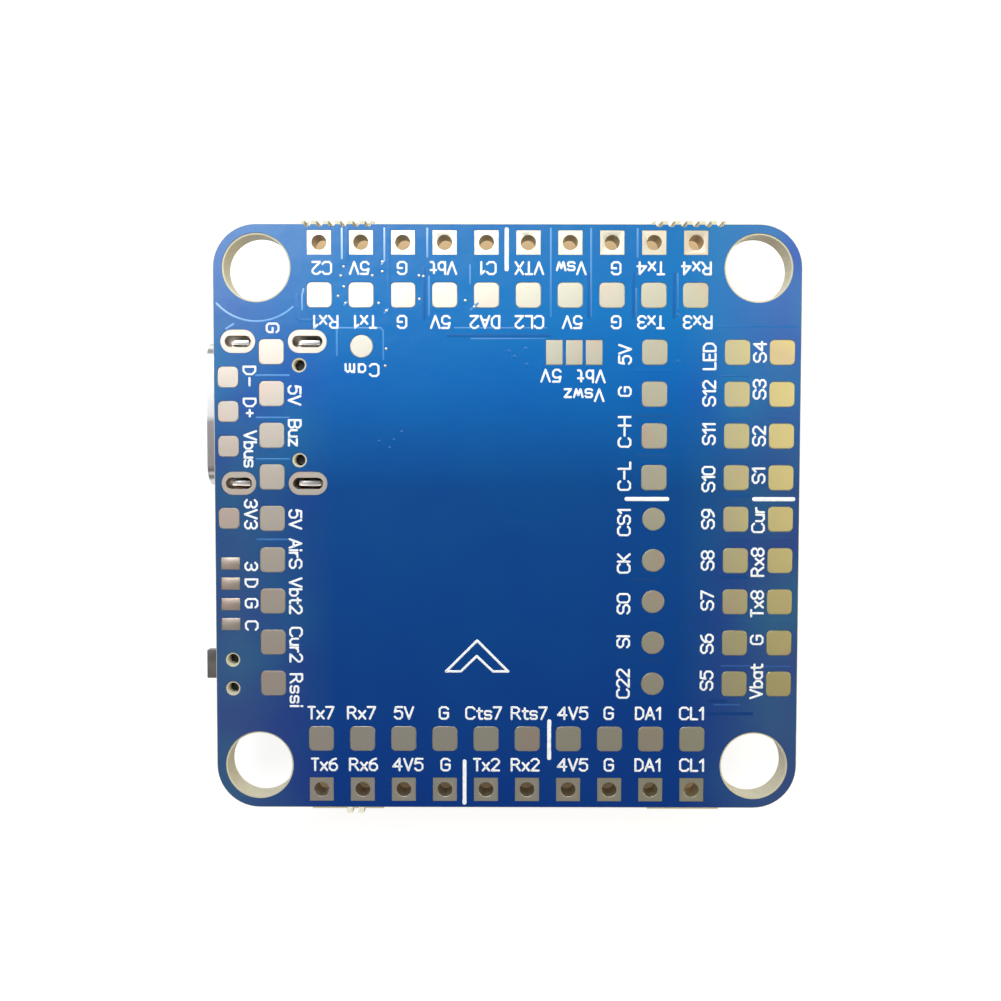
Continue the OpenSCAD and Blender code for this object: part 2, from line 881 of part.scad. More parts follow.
module regulator_lead_places() {
    for (x = [-small_lead_pitch, 0, small_lead_pitch]) translate([x, 0, 0]) children();
    for (x = [-small_lead_pitch, small_lead_pitch]) translate([x, 0, 0]) rotate([0, 0, 180]) children();
}

module linear_regulator_leads() {
    color("silver")
        for (p = regulator_at)
            at_chip(p)
                regulator_lead_places() gull_lead(small_chip_size[1] / 2, small_chip_size[2], 0.4, 0.6);
}

module transistors() {
    color("#202224") for (p = transistor_at) at_chip(p) moulded_body(transistor_size);
}

module transistor_lead_places() {
    for (x = [-small_lead_pitch, small_lead_pitch]) translate([x, 0, 0]) children();
    rotate([0, 0, 180]) children();
}

module transistor_leads() {
    color("silver")
        for (p = transistor_at)
            at_chip(p)
                transistor_lead_places() gull_lead(transistor_size[1] / 2, transistor_size[2], 0.4, 0.55);
}

module motion_sensors() {
    color("#202224") for (p = motion_sensor_at) at_chip(p) block(motion_sensor_size, [0, 0, 0.02]);
}

module pressure_sensor_base() {
    color("darkgreen") at_chip(pressure_at) block(pressure_size, [0, 0, 0.02]);
}

module pressure_sensor_lid() {
    rim = 0.1;
    vent_d = 0.3;
    size = [pressure_size[0] - 2 * rim, pressure_size[1] - 2 * rim];
    color("silver")
        at_chip(pressure_at)
            translate([0, 0, pressure_size[2] + 0.02])
                difference() {
                    block([size[0], size[1], pressure_lid_h]);
                    block([size[0] - 2 * rim, size[1] - 2 * rim, 2 * (pressure_lid_h - rim)],
                        [0, 0, rim - pressure_lid_h]);
                    translate([0.6, 0.3, 0]) cylinder(d = vent_d, h = 1);
                }
}

module crystal_bases() {
    color("tan") for (p = crystal_at) at_chip(p) block(crystal_size, [0, 0, 0.02]);
}

module crystal_lids() {
    rim = 0.15;
    color("silver")
        for (p = crystal_at)
            at_chip(p)
                block([crystal_size[0] - 2 * rim, crystal_size[1] - 2 * rim, crystal_lid_h],
                    [0, 0, crystal_size[2] + 0.02]);
}

// A moulded ferrite block with its corners cut off.
module inductor_core() {
    w = inductor_w / 2;
    c = 0.5;
    color("#505356")
        at_chip(inductor_at)
            translate([0, 0, inductor_lift])
                linear_extrude(inductor_h - inductor_lift)
                    polygon([
                        [w - c, -w], [w, -w + c], [w, w - c], [w - c, w],
                        [-w + c, w], [-w, w - c], [-w, -w + c], [-w + c, -w]
                    ]);
}

module inductor_terminals() {
    color("silver")
        at_chip(inductor_at) for (side = [-1, 1]) block([1.1, 3, inductor_lift], [side * 1.35, 0, 0]);
}

module status_led_bases() {
    color("white") for (p = led_at) at_chip(p) block(led_size);
}

module status_led_lenses() {
    color("lightyellow") for (p = led_at) at_chip(p) block(led_lens, [0, 0, led_size[2]]);
}

// ---------- passive parts ----------

module chip_resistors() {
    body = small_chip_part[0] - 2 * small_terminal;
    color("#202224")
        on_part_side()
            at_places(row_places(resistor_rows)) block([body, small_chip_part[1], small_chip_part[2]]);
}

module chip_capacitors() {
    body = small_chip_part[0] - 2 * small_terminal;
    color("#a98b66")
        on_part_side()
            at_places(row_places(capacitor_rows)) block([body, small_chip_part[1], small_chip_part[1]]);
}

// The two tinned ends of a passive part.
module end_pair(size, end) {
    for (side = [-1, 1]) block([end, size[1], size[2]], [side * (size[0] - end) / 2, 0, 0]);
}

module chip_terminals() {
    color("silver")
        on_part_side() {
            at_places(row_places(resistor_rows)) end_pair(small_chip_part, small_terminal);
            at_places(row_places(capacitor_rows))
                end_pair([small_chip_part[0], small_chip_part[1], small_chip_part[1]], small_terminal);
        }
}

module power_capacitors() {
    body = power_part[0] - 2 * power_terminal;
    color("#a98b66")
        on_part_side() at_places(power_capacitor_at) block([body, power_part[1], power_part[2]]);
}

module power_capacitor_terminals() {
    color("silver") on_part_side() at_places(power_capacitor_at) end_pair(power_part, power_terminal);
}

module protection_diode() {
    color("#202224") on_part_side() at_places([diode_at]) moulded_body(diode_size, 0.02);
}

module protection_diode_terminals() {
    size = [diode_size[0] + 2 * diode_terminal, 0.9, lead_t];
    color("silver") on_part_side() at_places([diode_at]) end_pair(size, diode_terminal);
}

// ---------- copper lands on the part side ----------

// Two rectangles under the ends of a passive part.
module land_pair(length, w, spread) {
    for (side = [-1, 1]) translate([side * spread / 2, 0]) square([length, w], center = true);
}

// Two rows of lands, along x, with their middles at y = +-at.
module land_rows(count, step, size, at) {
    for (side = [-1, 1])
        for (i = [0:count - 1])
            translate([(i - (count - 1) / 2) * step, side * at]) square(size, center = true);
}

module socket_lands(ways) {
    for (i = [0:ways - 1])
        translate([i - (ways - 1) / 2, -socket_depth - 0.35]) square([0.6, 0.9], center = true);
    for (side = [-1, 1])
        translate([side * (socket_w(ways) / 2 + 0.1), -1.5]) square([0.6, 1.8], center = true);
}

module at_flat(at, turn = 0) {
    translate([at[0], at[1]]) rotate(turn) children();
}

module land_shapes() {
    at_flat(processor_at) at_balls() circle(d = ball_d, $fn = 16);
    at_flat(overlay_at)
        land_rows(overlay_leads_a_side, overlay_lead_pitch, [0.35, 0.75], overlay_size[1] / 2 + 0.72);
    at_flat(transceiver_at)
        land_rows(transceiver_leads_a_side, transceiver_lead_pitch, [0.6, 0.9],
            transceiver_size[1] / 2 + 0.8);
    for (p = concat([buck_at], regulator_at))
        at_flat(p)
            land_rows(small_leads_a_side, small_lead_pitch, [0.6, 0.6], small_chip_size[1] / 2 + 0.45);
    for (p = transistor_at)
        at_flat(p) {
            translate([0, -transistor_size[1] / 2 - 0.4]) square([0.7, 0.6], center = true);
            for (x = [-small_lead_pitch, small_lead_pitch])
                translate([x, transistor_size[1] / 2 + 0.4]) square([0.7, 0.6], center = true);
        }
    for (p = concat(motion_sensor_at, [pressure_at]))
        at_flat(p) land_rows(4, 0.6, [0.35, 0.5], 0.85);
    for (p = crystal_at) at_flat(p) land_rows(2, 2.1, [1.1, 0.9], 0.85);
    at_flat(inductor_at) land_pair(1.3, 3.2, 2.7);
    for (p = led_at) at_flat(p) land_pair(0.6, 0.8, 1.4);
    at_places(concat(row_places(resistor_rows), row_places(capacitor_rows))) land_pair(0.35, 0.55, 0.85);
    at_places(power_capacitor_at) land_pair(0.8, 1.7, 2.9);
    at_places([diode_at]) land_pair(0.7, 1.2, diode_size[0] + diode_terminal);
    translate([usb_mouth_x + usb_size[0] + 0.45, usb_y])
        rotate(90) land_rows(usb_contact_count, usb_contact_pitch, [usb_contact_w + 0.04, 0.9], 0);
    switch_terminal_places() square([0.7, 0.36], center = true);
    at_card_contacts() translate([0, 0.45]) square([0.7, 1], center = true);
    for (side = [-1, 1])
        for (y = [1.6, card_size[1] - 1.6])
            translate([side * (card_size[0] / 2 + 0.5), card_mouth_y + y])
                square([1.1, 1.6], center = true);
    translate([half_w, esc_y]) rotate(-90) socket_lands(esc_ways);
    translate([half_w, can_y]) rotate(-90) socket_lands(can_ways);
    translate([-half_w, video_y]) rotate(90) socket_lands(video_ways);
}

// One opening in the mask for each part, wide enough for all of its lands.
module land_openings() {
    at_flat(processor_at) square(ball_rows * ball_pitch, center = true);
    at_flat(overlay_at)
        land_rows(1, 1, [overlay_leads_a_side * overlay_lead_pitch, 0.85], overlay_size[1] / 2 + 0.72);
    at_flat(transceiver_at)
        land_rows(1, 1, [transceiver_leads_a_side * transceiver_lead_pitch, 1],
            transceiver_size[1] / 2 + 0.8);
    for (p = concat([buck_at], regulator_at))
        at_flat(p) land_rows(1, 1, [2.6, 0.7], small_chip_size[1] / 2 + 0.45);
    for (p = transistor_at) at_flat(p) land_rows(1, 1, [2.7, 0.7], transistor_size[1] / 2 + 0.4);
    for (p = concat(motion_sensor_at, [pressure_at])) at_flat(p) square([2.3, 2.3], center = true);
    for (p = crystal_at) at_flat(p) square([3.4, 2.8], center = true);
    at_flat(inductor_at) land_pair(1.35, 3.3, 2.7);
    for (p = led_at) at_flat(p) square([1.8, 0.9], center = true);
    at_places(concat(row_places(resistor_rows), row_places(capacitor_rows)))
        square([1.3, 0.65], center = true);
    at_places(power_capacitor_at) land_pair(0.9, 1.8, 2.9);
    at_places([diode_at]) land_pair(0.8, 1.3, diode_size[0] + diode_terminal);
    translate([usb_mouth_x + usb_size[0] + 0.45, usb_y])
        square([1, usb_contact_count * usb_contact_pitch], center = true);
    switch_terminal_places() square([0.8, 0.46], center = true);
    at_card_contacts() translate([0, 0.45]) square([0.8, 1.1], center = true);
    for (side = [-1, 1])
        for (y = [1.6, card_size[1] - 1.6])
            translate([side * (card_size[0] / 2 + 0.5), card_mouth_y + y])
                square([1.2, 1.7], center = true);
    translate([half_w, esc_y]) rotate(-90) socket_openings(esc_ways);
    translate([half_w, can_y]) rotate(-90) socket_openings(can_ways);
    translate([-half_w, video_y]) rotate(90) socket_openings(video_ways);
}

module socket_openings(ways) {
    translate([0, -socket_depth - 0.35]) square([ways - 0.3, 1], center = true);
    for (side = [-1, 1])
        translate([side * (socket_w(ways) / 2 + 0.1), -1.5]) square([0.7, 1.9], center = true);
}

module component_lands() {
    color("wheat") translate([0, 0, -board_t - copper_t]) linear_extrude(copper_t) land_shapes();
}

// ---------- drawing ----------

laminate();
pad_side_mask();
part_side_mask();
square_wire_pads();
round_signal_pads();
edge_pads();
jumper_pads();
header_barrels();
anchor_barrels();
component_lands();
usb_shell();
usb_insulator();
usb_contacts();
usb_midplate();
switch_base();
switch_cover();
switch_button();
switch_dome();
switch_terminals();
card_cover();
card_tray();
card_contacts();
card_detect_contacts();
esc_socket();
can_socket();
video_socket();
esc_contacts();
can_contacts();
video_contacts();
socket_anchor_tabs();
processor_cap();
processor_substrate();
processor_balls();
overlay_chip();
overlay_chip_leads();
motion_sensors();
pressure_sensor_base();
pressure_sensor_lid();
can_transceiver();
can_transceiver_leads();
buck_regulator();
buck_regulator_leads();
inductor_core();
inductor_terminals();
linear_regulators();
linear_regulator_leads();
transistors();
transistor_leads();
crystal_bases();
crystal_lids();
status_led_bases();
status_led_lenses();
chip_resistors();
chip_capacitors();
chip_terminals();
power_capacitors();
power_capacitor_terminals();
protection_diode();
protection_diode_terminals();
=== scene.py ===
import random
from math import cos, pi, radians, sin

import bmesh
import bpy
from mathutils import Matrix, Vector


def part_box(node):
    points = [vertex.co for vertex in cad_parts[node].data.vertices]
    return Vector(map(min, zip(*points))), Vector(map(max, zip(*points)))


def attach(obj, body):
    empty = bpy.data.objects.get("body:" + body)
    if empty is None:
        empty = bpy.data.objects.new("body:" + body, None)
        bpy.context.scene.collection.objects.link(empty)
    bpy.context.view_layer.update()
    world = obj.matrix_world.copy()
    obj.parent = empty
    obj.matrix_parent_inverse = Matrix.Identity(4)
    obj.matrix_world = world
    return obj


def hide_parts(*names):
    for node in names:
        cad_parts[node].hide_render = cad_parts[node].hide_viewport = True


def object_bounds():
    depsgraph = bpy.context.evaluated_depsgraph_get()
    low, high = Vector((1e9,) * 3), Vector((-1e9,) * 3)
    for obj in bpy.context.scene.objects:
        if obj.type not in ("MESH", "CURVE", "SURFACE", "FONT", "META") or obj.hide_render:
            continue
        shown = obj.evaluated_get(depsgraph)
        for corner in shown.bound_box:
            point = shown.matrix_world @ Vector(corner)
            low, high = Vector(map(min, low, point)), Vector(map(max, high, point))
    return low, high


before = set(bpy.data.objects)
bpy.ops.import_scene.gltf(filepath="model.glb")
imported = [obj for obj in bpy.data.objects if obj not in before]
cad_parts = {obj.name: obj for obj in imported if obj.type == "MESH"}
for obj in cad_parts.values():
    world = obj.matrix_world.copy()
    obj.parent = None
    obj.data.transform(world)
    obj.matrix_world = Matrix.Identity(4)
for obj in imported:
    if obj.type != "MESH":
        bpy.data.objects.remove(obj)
cad_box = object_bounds()


# ---------- camera ----------
# It looks down on the solder-pad face from a little in front of its middle, 64 mm up.
# It leans two degrees towards the rear edge, so the front edge looks slightly wider.

mm = 0.001
camera_data = bpy.data.cameras.new("camera")
camera_data.lens = 37.6
camera_data.clip_start = 1 * mm
camera = bpy.data.objects.new("camera", camera_data)
camera.location = Vector((-0.28, 3.69, 63.96)) * mm
camera.rotation_euler = [radians(turn) for turn in (-2.30, 0.11, 0.09)]
bpy.context.scene.collection.objects.link(camera)
bpy.context.scene.camera = camera


# ---------- laminate ----------
# The board is FR4, eight sheets of woven glass pressed with epoxy resin. Its faces are under mask,
# so it shows only where it was routed, drilled or snapped: straw-coloured, in layers, with the
# ends of broken fibres standing out of the panel tab stubs.

def linear(colour):
    """A colour written as #rrggbb, as the linear values that a shader takes."""
    parts = [int(colour[i:i + 2], 16) / 255 for i in (1, 3, 5)]
    return [p / 12.92 if p <= 0.04045 else ((p + 0.055) / 1.055) ** 2.4 for p in parts] + [1]


def add(tree, kind, inputs=None, stops=(), **settings):
    """Adds a node. An input is a value, or the output that feeds it. A ramp has stops as well, its
    places and colours from 0 up."""
    node = tree.nodes.new("ShaderNode" + kind)
    for name, value in settings.items():
        setattr(node, name, value)
    for name, value in (inputs or {}).items():
        if isinstance(value, bpy.types.NodeSocket):
            tree.links.new(value, node.inputs[name])
        else:
            node.inputs[name].default_value = value
    for i, (place, colour) in enumerate(stops):
        ramp = node.color_ramp.elements
        stop = ramp[i] if i < len(ramp) else ramp.new(place)
        stop.position, stop.color = place, linear(colour)
    return node


def new_finish(name, colour, roughness, sockets=None):
    """A new material with these values all over, its node tree and its shader."""
    finish = bpy.data.materials.new(name)
    finish.use_nodes = True
    shader = finish.node_tree.nodes["Principled BSDF"]
    values = {"Base Color": linear(colour), "Roughness": roughness, **(sockets or {})}
    for socket, value in values.items():
        shader.inputs[socket].default_value = value
    return finish, finish.node_tree, shader


def dress(finish, *names):
    for name in names:
        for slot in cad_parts[name].material_slots:
            slot.material = finish


# Cut FR4: resin-rich layers show darker than the glass between them, 0.2 mm apart, and the
# sawn fibre ends make it matt and speckled.
cut_fr4, tree, shader = new_finish("cut_fr4_glass_epoxy", "#e4e0cb", 0.55, {
    "Subsurface Weight": 0.15, "Subsurface Radius": (0.4 * mm, 0.35 * mm, 0.2 * mm)})
place = add(tree, "TexCoord").outputs["Object"]
layer_step, fibre_width = 0.2 * mm, 0.09 * mm
# At scale 1 the bands of a wave pattern are pi / 10 m apart.
layers = add(tree, "TexWave", {
    "Vector": place, "Scale": pi / 10 / layer_step, "Distortion": 1.5, "Detail": 2},
    bands_direction="Z").outputs["Fac"]
fibres = add(tree, "TexNoise", {"Vector": place, "Scale": 1 / fibre_width, "Detail": 3}).outputs["Fac"]
mixed = add(tree, "Math", {0: layers, 1: fibres}, operation="MULTIPLY").outputs["Value"]
sawn = add(tree, "ValToRGB", {"Fac": mixed}, ((0.1, "#d3cdaf"), (0.6, "#f4f2e6")))
tree.links.new(sawn.outputs["Color"], shader.inputs["Base Color"])
bump = add(tree, "Bump", {"Height": fibres, "Distance": 0.02 * mm, "Strength": 1})
tree.links.new(bump.outputs["Normal"], shader.inputs["Normal"])
dress(cut_fr4, "laminate")


def piece(shape, name, finish, body="board", stands_for=None, sharp=35):
    """Makes a piece of the finished shape; edges that turn by more than sharp degrees stay crisp."""
    mesh = bpy.data.meshes.new(name)
    shape.to_mesh(mesh)
    shape.free()
    mesh.shade_smooth()
    mesh.set_sharp_from_angle(angle=radians(sharp))
    mesh.materials.append(finish)
    thing = bpy.data.objects.new(name, mesh)
    bpy.context.scene.collection.objects.link(thing)
    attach(thing, body)
    thing.modifiers.new("flats_shade_flat", "WEIGHTED_NORMAL").keep_sharp = True
    if stands_for:
        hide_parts(stands_for)


def corners_cut(points):
    """The line cut in two at each corner sharper than a draughtsman's chamfer."""
    runs = [[points[0]]]
    for before, here, after in zip(points, points[1:], points[2:]):
        runs[-1].append(here)
        if (here - before).angle(after - here) > radians(55):
            runs.append([here])
    runs[-1].append(points[-1])
    return runs


def drawn_lines(name, lines, width, top, height, finish, sides=1):
    """Lines with round ends, in mm: flattened tubes, half sunk, whose tops are at z = top."""
    end_steps = (radians(35), radians(65))
    curve = bpy.data.curves.new(name, "CURVE")
    curve.dimensions = "3D"
    curve.bevel_depth = width / 2 * mm
    curve.bevel_resolution = sides
    curve.use_fill_caps = True
    for line in lines:
        for run in corners_cut([Vector((x, y, 0)) for x, y in line]):
            start, end = (run[0] - run[1]).normalized(), (run[-1] - run[-2]).normalized()
            path = [(run[0] + start * width / 2 * sin(a), cos(a)) for a in reversed(end_steps)]
            path += [(point, 1) for point in run]
            path += [(run[-1] + end * width / 2 * sin(a), cos(a)) for a in end_steps]
            spline = curve.splines.new("POLY")
            spline.points.add(len(path) - 1)
            for point, (at, thickness) in zip(spline.points, path):
                point.co = (*at * mm, 1)
                point.radius = thickness
    source = bpy.data.objects.new(name, curve)
    bpy.context.scene.collection.objects.link(source)
    bpy.context.view_layer.update()
    shape = bmesh.new()
    shape.from_mesh(source.to_mesh())
    bpy.data.objects.remove(source)
    bmesh.ops.scale(shape, vec=(1, 1, height / width * 2), verts=shape.verts)
    bmesh.ops.translate(shape, vec=(0, 0, (top - height) * mm), verts=shape.verts)
    bmesh.ops.recalc_face_normals(shape, faces=shape.faces)
    piece(shape, name, finish, sharp=80)


# Broken fibre ends in the bites of the two front tab stubs. The rear pair was filed flush.
tab_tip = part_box("laminate")[1].y / mm
tab_half, bite_depth, fibre_size = 2.1, 0.36, 0.05
random.seed(5)
fibre_ends = []
for tab_x in (-10.3, 11.05):
    for i in range(30):
        x = tab_x + random.uniform(-tab_half, tab_half)
        lean = random.uniform(-0.08, 0.08)
        reach = random.uniform(0.04, 0.14)
        fibre_ends.append([(x, tab_tip - bite_depth), (x + lean, tab_tip - reach)])
# They stand at four depths, every other one at each depth.
for depth, first in ((0.12, 1), (0.5, 2), (0.95, 0), (1.35, 1)):
    drawn_lines(f"broken_fibres_{depth:g}".replace(".", "_"), fibre_ends[first::2], fibre_size,
                top=-depth, height=0.03, finish=cut_fr4, sides=0)


# ---------- solder mask ----------
# Liquid epoxy, screened on both faces and hardened by light. It is a clear deep blue with a soft
# gloss, and it sinks a little over the gaps in the copper, so the tracks under it show as relief.

mask_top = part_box("pad_side_mask")[1].z / mm
board_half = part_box("pad_side_mask")[1].x
cured_film = {"Specular IOR Level": 0.3}
blue_mask, tree, shader = new_finish("glossy_blue_solder_mask", "#004684", 0.26, cured_film)
place = add(tree, "TexCoord").outputs["Object"]
across = add(tree, "SeparateXYZ", {"Vector": place}).outputs
# The film's colour is painted paler towards the front edge, a painted light and sheen from the
# front softbox, and darker towards the rear. It is greyer along the left and right edges.
painted_front_light = add(tree, "MapRange", {"Value": across["Y"], "From Min": -board_half, "From Max": board_half})
tones = []
for colours in (("#00327d", "#004284", "#005eab", "#0a6eb4", "#146aad"),
                ("#33507f", "#244e7e", "#2a65a0", "#3e6cae", "#4272b0")):
    ramp = add(tree, "ValToRGB", {"Fac": painted_front_light.outputs["Result"]}, zip((0, 0.55, 0.73, 0.87, 1), colours))
    tones.append(ramp.outputs["Color"])
sideways = add(tree, "Math", {0: across["X"]}, operation="ABSOLUTE").outputs["Value"]
edgeways = add(tree, "MapRange", {"Value": sideways, "From Min": 10.5 * mm, "From Max": 16.5 * mm})
toned = add(tree, "Mix", {0: edgeways.outputs["Result"], 6: tones[0], 7: tones[1]}, data_type="RGBA")
# The film's blue drifts a little to violet or to green, in clouds about 5 mm across, mostly near
# the edges.
clouds = add(tree, "TexNoise", {"Vector": place, "Scale": 1 / (5 * mm), "Detail": 1}).outputs["Fac"]
drift = add(tree, "MapRange", {"Value": clouds, "From Min": 0.3, "From Max": 0.7, "To Min": 0.482,
                               "To Max": 0.52})
edge_clouds = add(tree, "Math", {0: edgeways.outputs["Result"], 1: 0.88, 2: 0.12}, operation="MULTIPLY_ADD")
clouded = add(tree, "HueSaturation", {"Hue": drift.outputs["Result"], "Color": toned.outputs[2],
                                      "Fac": edge_clouds.outputs["Value"]})
tree.links.new(clouded.outputs["Color"], shader.inputs["Base Color"])
# The cured film is faintly wavy, about 1.5 mm from crest to crest, over the cloth's 0.45 mm weave.
waves = add(tree, "TexNoise", {"Vector": place, "Scale": 1 / (1.5 * mm), "Detail": 3}).outputs["Fac"]
bump = add(tree, "Bump", {"Height": waves, "Distance": 0.03 * mm, "Strength": 1})
tree.links.new(bump.outputs["Normal"], shader.inputs["Normal"])
dress(blue_mask, "pad_side_mask", "part_side_mask")

# The edges of the copper pours under the pad side's mask stand up as fine ridges, coloured pale as
# painted highlights: between the wire pads, round the front left mounting hole, and round the camera
# pad. Beside them the gaps are coloured dark as painted shade.
over_edges, tree, shader = new_finish("solder_mask_painted_highlights_on_copper_edges", "#2c6fc0", 0.26, cured_film)
# The painted highlights are palest towards the front left corner, under the front softbox.
axes = add(tree, "SeparateXYZ", {"Vector": add(tree, "TexCoord").outputs["Object"]}).outputs
forward = add(tree, "Math", {0: axes["X"], 1: -0.35, 2: axes["Y"]}, operation="MULTIPLY_ADD").outputs["Value"]
painted_front_light = add(tree, "MapRange", {"Value": forward, "From Min": -board_half, "From Max": 1.25 * board_half})
lighter = add(tree, "ValToRGB", {"Fac": painted_front_light.outputs["Result"]}, (
    (0, "#2c5596"), (0.4, "#1c5298"), (0.7, "#2272b8"), (0.86, "#5c98d6"), (1, "#d2e8fb")))
tree.links.new(lighter.outputs["Color"], shader.inputs["Base Color"])
# The gaps are painted dark as painted shade, darkest towards the rear edge, away from the front softbox.
in_gaps, tree, shader = new_finish("solder_mask_painted_shade_in_gaps", "#004a94", 0.26, cured_film)
forward = add(tree, "SeparateXYZ", {"Vector": add(tree, "TexCoord").outputs["Object"]}).outputs["Y"]
painted_gap_shade = add(tree, "MapRange", {"Value": forward, "From Min": -board_half, "From Max": board_half})
gap_shade_tone = add(tree, "ValToRGB", {"Fac": painted_gap_shade.outputs["Result"]}, ((0.35, "#0c3a79"), (0.92, "#0f60a8")))
tree.links.new(gap_shade_tone.outputs["Color"], shader.inputs["Base Color"])
pour_edges = [[(-12.38, 13.95), (-12.47, 13.6), (-12.47, 12.7)], [(-17.1, 11.55), (-16.65, 11.83)],
              [(-10.37, 9.95), (-10.37, 11.61), (-7.7, 11.61), (-7.55, 11.45), (-7.55, 9.7)],
              [(-3.2, 11.61), (2.4, 11.61)], [(-2.2, 10.96), (2.3, 10.96)],
              [(12.9, 11.73), (17.6, 11.73)], [(-7.63, 15.46), (-7.45, 15.7)],
              [(-7.47, 12.51), (-7.24, 12.75)], [(-9.91, 12.99), (-9.7, 13.19)],
              [(-1.79, 13.11), (-2.24, 12.71)], [(13.2, -9.05), (15, -9.05)],
              [(15.84, -9.08), (17.41, -9.08)], [(12.8, -11.46), (14.3, -11.46)],
              [(13.1, 8.73), (14.7, 8.73)]]
for x, low, high in ((-10.04, 15.8, 17.6), (-7.46, 15.8, 17.6), (-4.86, 15.9, 17.6), (-4.76, 12.4, 14.7),
                     (-2.27, 14.3, 15.4), (2.63, 12.3, 17.6), (5.07, 12.3, 17.6), (7.88, 15.9, 17.6),
                     (7.82, 12.3, 14), (10.33, 12.8, 14.9)):
    pour_edges.append([(x, low), (x, high)])
for y in (8.73, 6.16, 3.63, -1.3):
    pour_edges.append([(-15.3, y), (-13.3, y)])
hole_place, ring_radius = 15.25, 3.25
ring = [radians(step) for step in range(-138, -40, 7)]
pour_edges.append([(-hole_place + ring_radius * cos(a), hole_place + ring_radius * sin(a)) for a in ring])
drawn_lines("pour_edges", pour_edges, width=0.12, top=mask_top + 0.014, height=0.016,
            finish=over_edges)

# Strips of painted shade lie in the gaps beside the pours.
gaps = [[(-5.05, 12.2), (-5.05, 15.2)], [(-3.6, 11.15), (2.56, 11.15)], [(7.83, 6.3), (9.95, 6.3)],
        [(8, 3.87), (9.9, 3.87)], [(7.66, -3.75), (9.3, -3.75)], [(13.2, 1.47), (14.8, 1.47)],
        [(13.2, -3.55), (14.7, -3.55)], [(12.5, -11.21), (13.5, -11.21)], [(12.4, -12), (15.1, -12)],
        [(8.44, -8.72), (9.43, -8.72)]]
for x in (4.94, 7.65, 10.12):
    gaps.append([(x, 12.3), (x, 14.9)])
drawn_lines("painted_shade_in_gaps", gaps, width=0.24, top=mask_top + 0.006, height=0.008,
            finish=in_gaps)

# Tracks and the far sides of the pours show as softer, broader swells. Each wire hole in the rear
# row has two tracks.
pitch = 2.54
swells = [[(-12.76, 13.6), (-12.76, 12.2), (-12.6, 12.06), (-10.3, 12.06)],
          [(9.61, -1.41), (10.19, -1.99)], [(7.72, -10.96), (8.38, -11.46)], [(-9.73, 15.8), (-9.73, 17.6)],
          [(-7.18, 12.5), (-7.18, 17.6)]]
for i in range(9):
    x = (i - 4) * pitch
    swells += [[(x - 0.18, -12.8), (x - 0.18, -17.3)], [(x + 0.28, -12.8), (x + 0.28, -14.3)]]
for y in (9.03, -6.3):
    swells.append([(7.9, y), (9.9, y)])
for y in (6.25, -1.2, -6.3):
    swells += [[(13.2, y), (14.8, y)], [(15.9, y), (17.4, y)]]
drawn_lines("tracks_under_mask", swells, width=0.26, top=mask_top + 0.008, height=0.01,
            finish=blue_mask)

# Vias: tented ones are faint pimples of mask, and those near the wire pads were left open, so their
# plated tops show as bright dots.
def domes(name, places, size, flatness, finish):
    """Low domes on the mask at these places, size mm across. Their height is flatness times half
    that."""
    vias = bmesh.new()
    for x, y in places:
        dome = bmesh.ops.create_icosphere(vias, subdivisions=2, radius=size / 2 * mm)["verts"]
        bmesh.ops.scale(vias, verts=dome, vec=(1, 1, flatness))
        bmesh.ops.translate(vias, verts=dome, vec=(x * mm, y * mm, mask_top * mm))
    piece(vias, name, finish, sharp=80)


domes("vias_under_mask", ((10.37, 12.43), (1.14, 10.36), (0.45, 9.87), (1.19, 9.38), (0.13, 10.19),
                          (-6.42, 5.27), (-6.91, 4.78), (-7.16, 4.29), (-7.81, 4.7), (10.4, 9.6),
                          (7.95, 14.85)),
      size=0.24, flatness=0.12, finish=blue_mask)


# ---------- printed marks ----------
# White epoxy ink, screen printed on the mask with a 0.13 mm pen: the short name of each solder
# terminal, an arrow that points to the front, and lines that part the groups of terminals.

def patchy(name, colour, tones, roughness, size, detail, depth, sockets=None):
    """A film whose colour and thickness vary together, in patches size mm across and depth mm high."""
    finish, tree, shader = new_finish(name, colour, roughness, sockets)
    place = add(tree, "TexCoord").outputs["Object"]
    patches = add(tree, "TexNoise", {"Vector": place, "Scale": 1 / (size * mm), "Detail": detail})
    uneven = add(tree, "ValToRGB", {"Fac": patches.outputs["Fac"]}, zip((0.35, 0.65), tones))
    tree.links.new(uneven.outputs["Color"], shader.inputs["Base Color"])
    bump = add(tree, "Bump", {"Height": patches.outputs["Fac"], "Distance": depth * mm, "Strength": 1})
    tree.links.new(bump.outputs["Normal"], shader.inputs["Normal"])
    return finish


white_ink = patchy("white_screen_ink", "#f3f6f8", ("#e3ebf2", "#ffffff"), 0.5, 0.2, 2, 0.004)

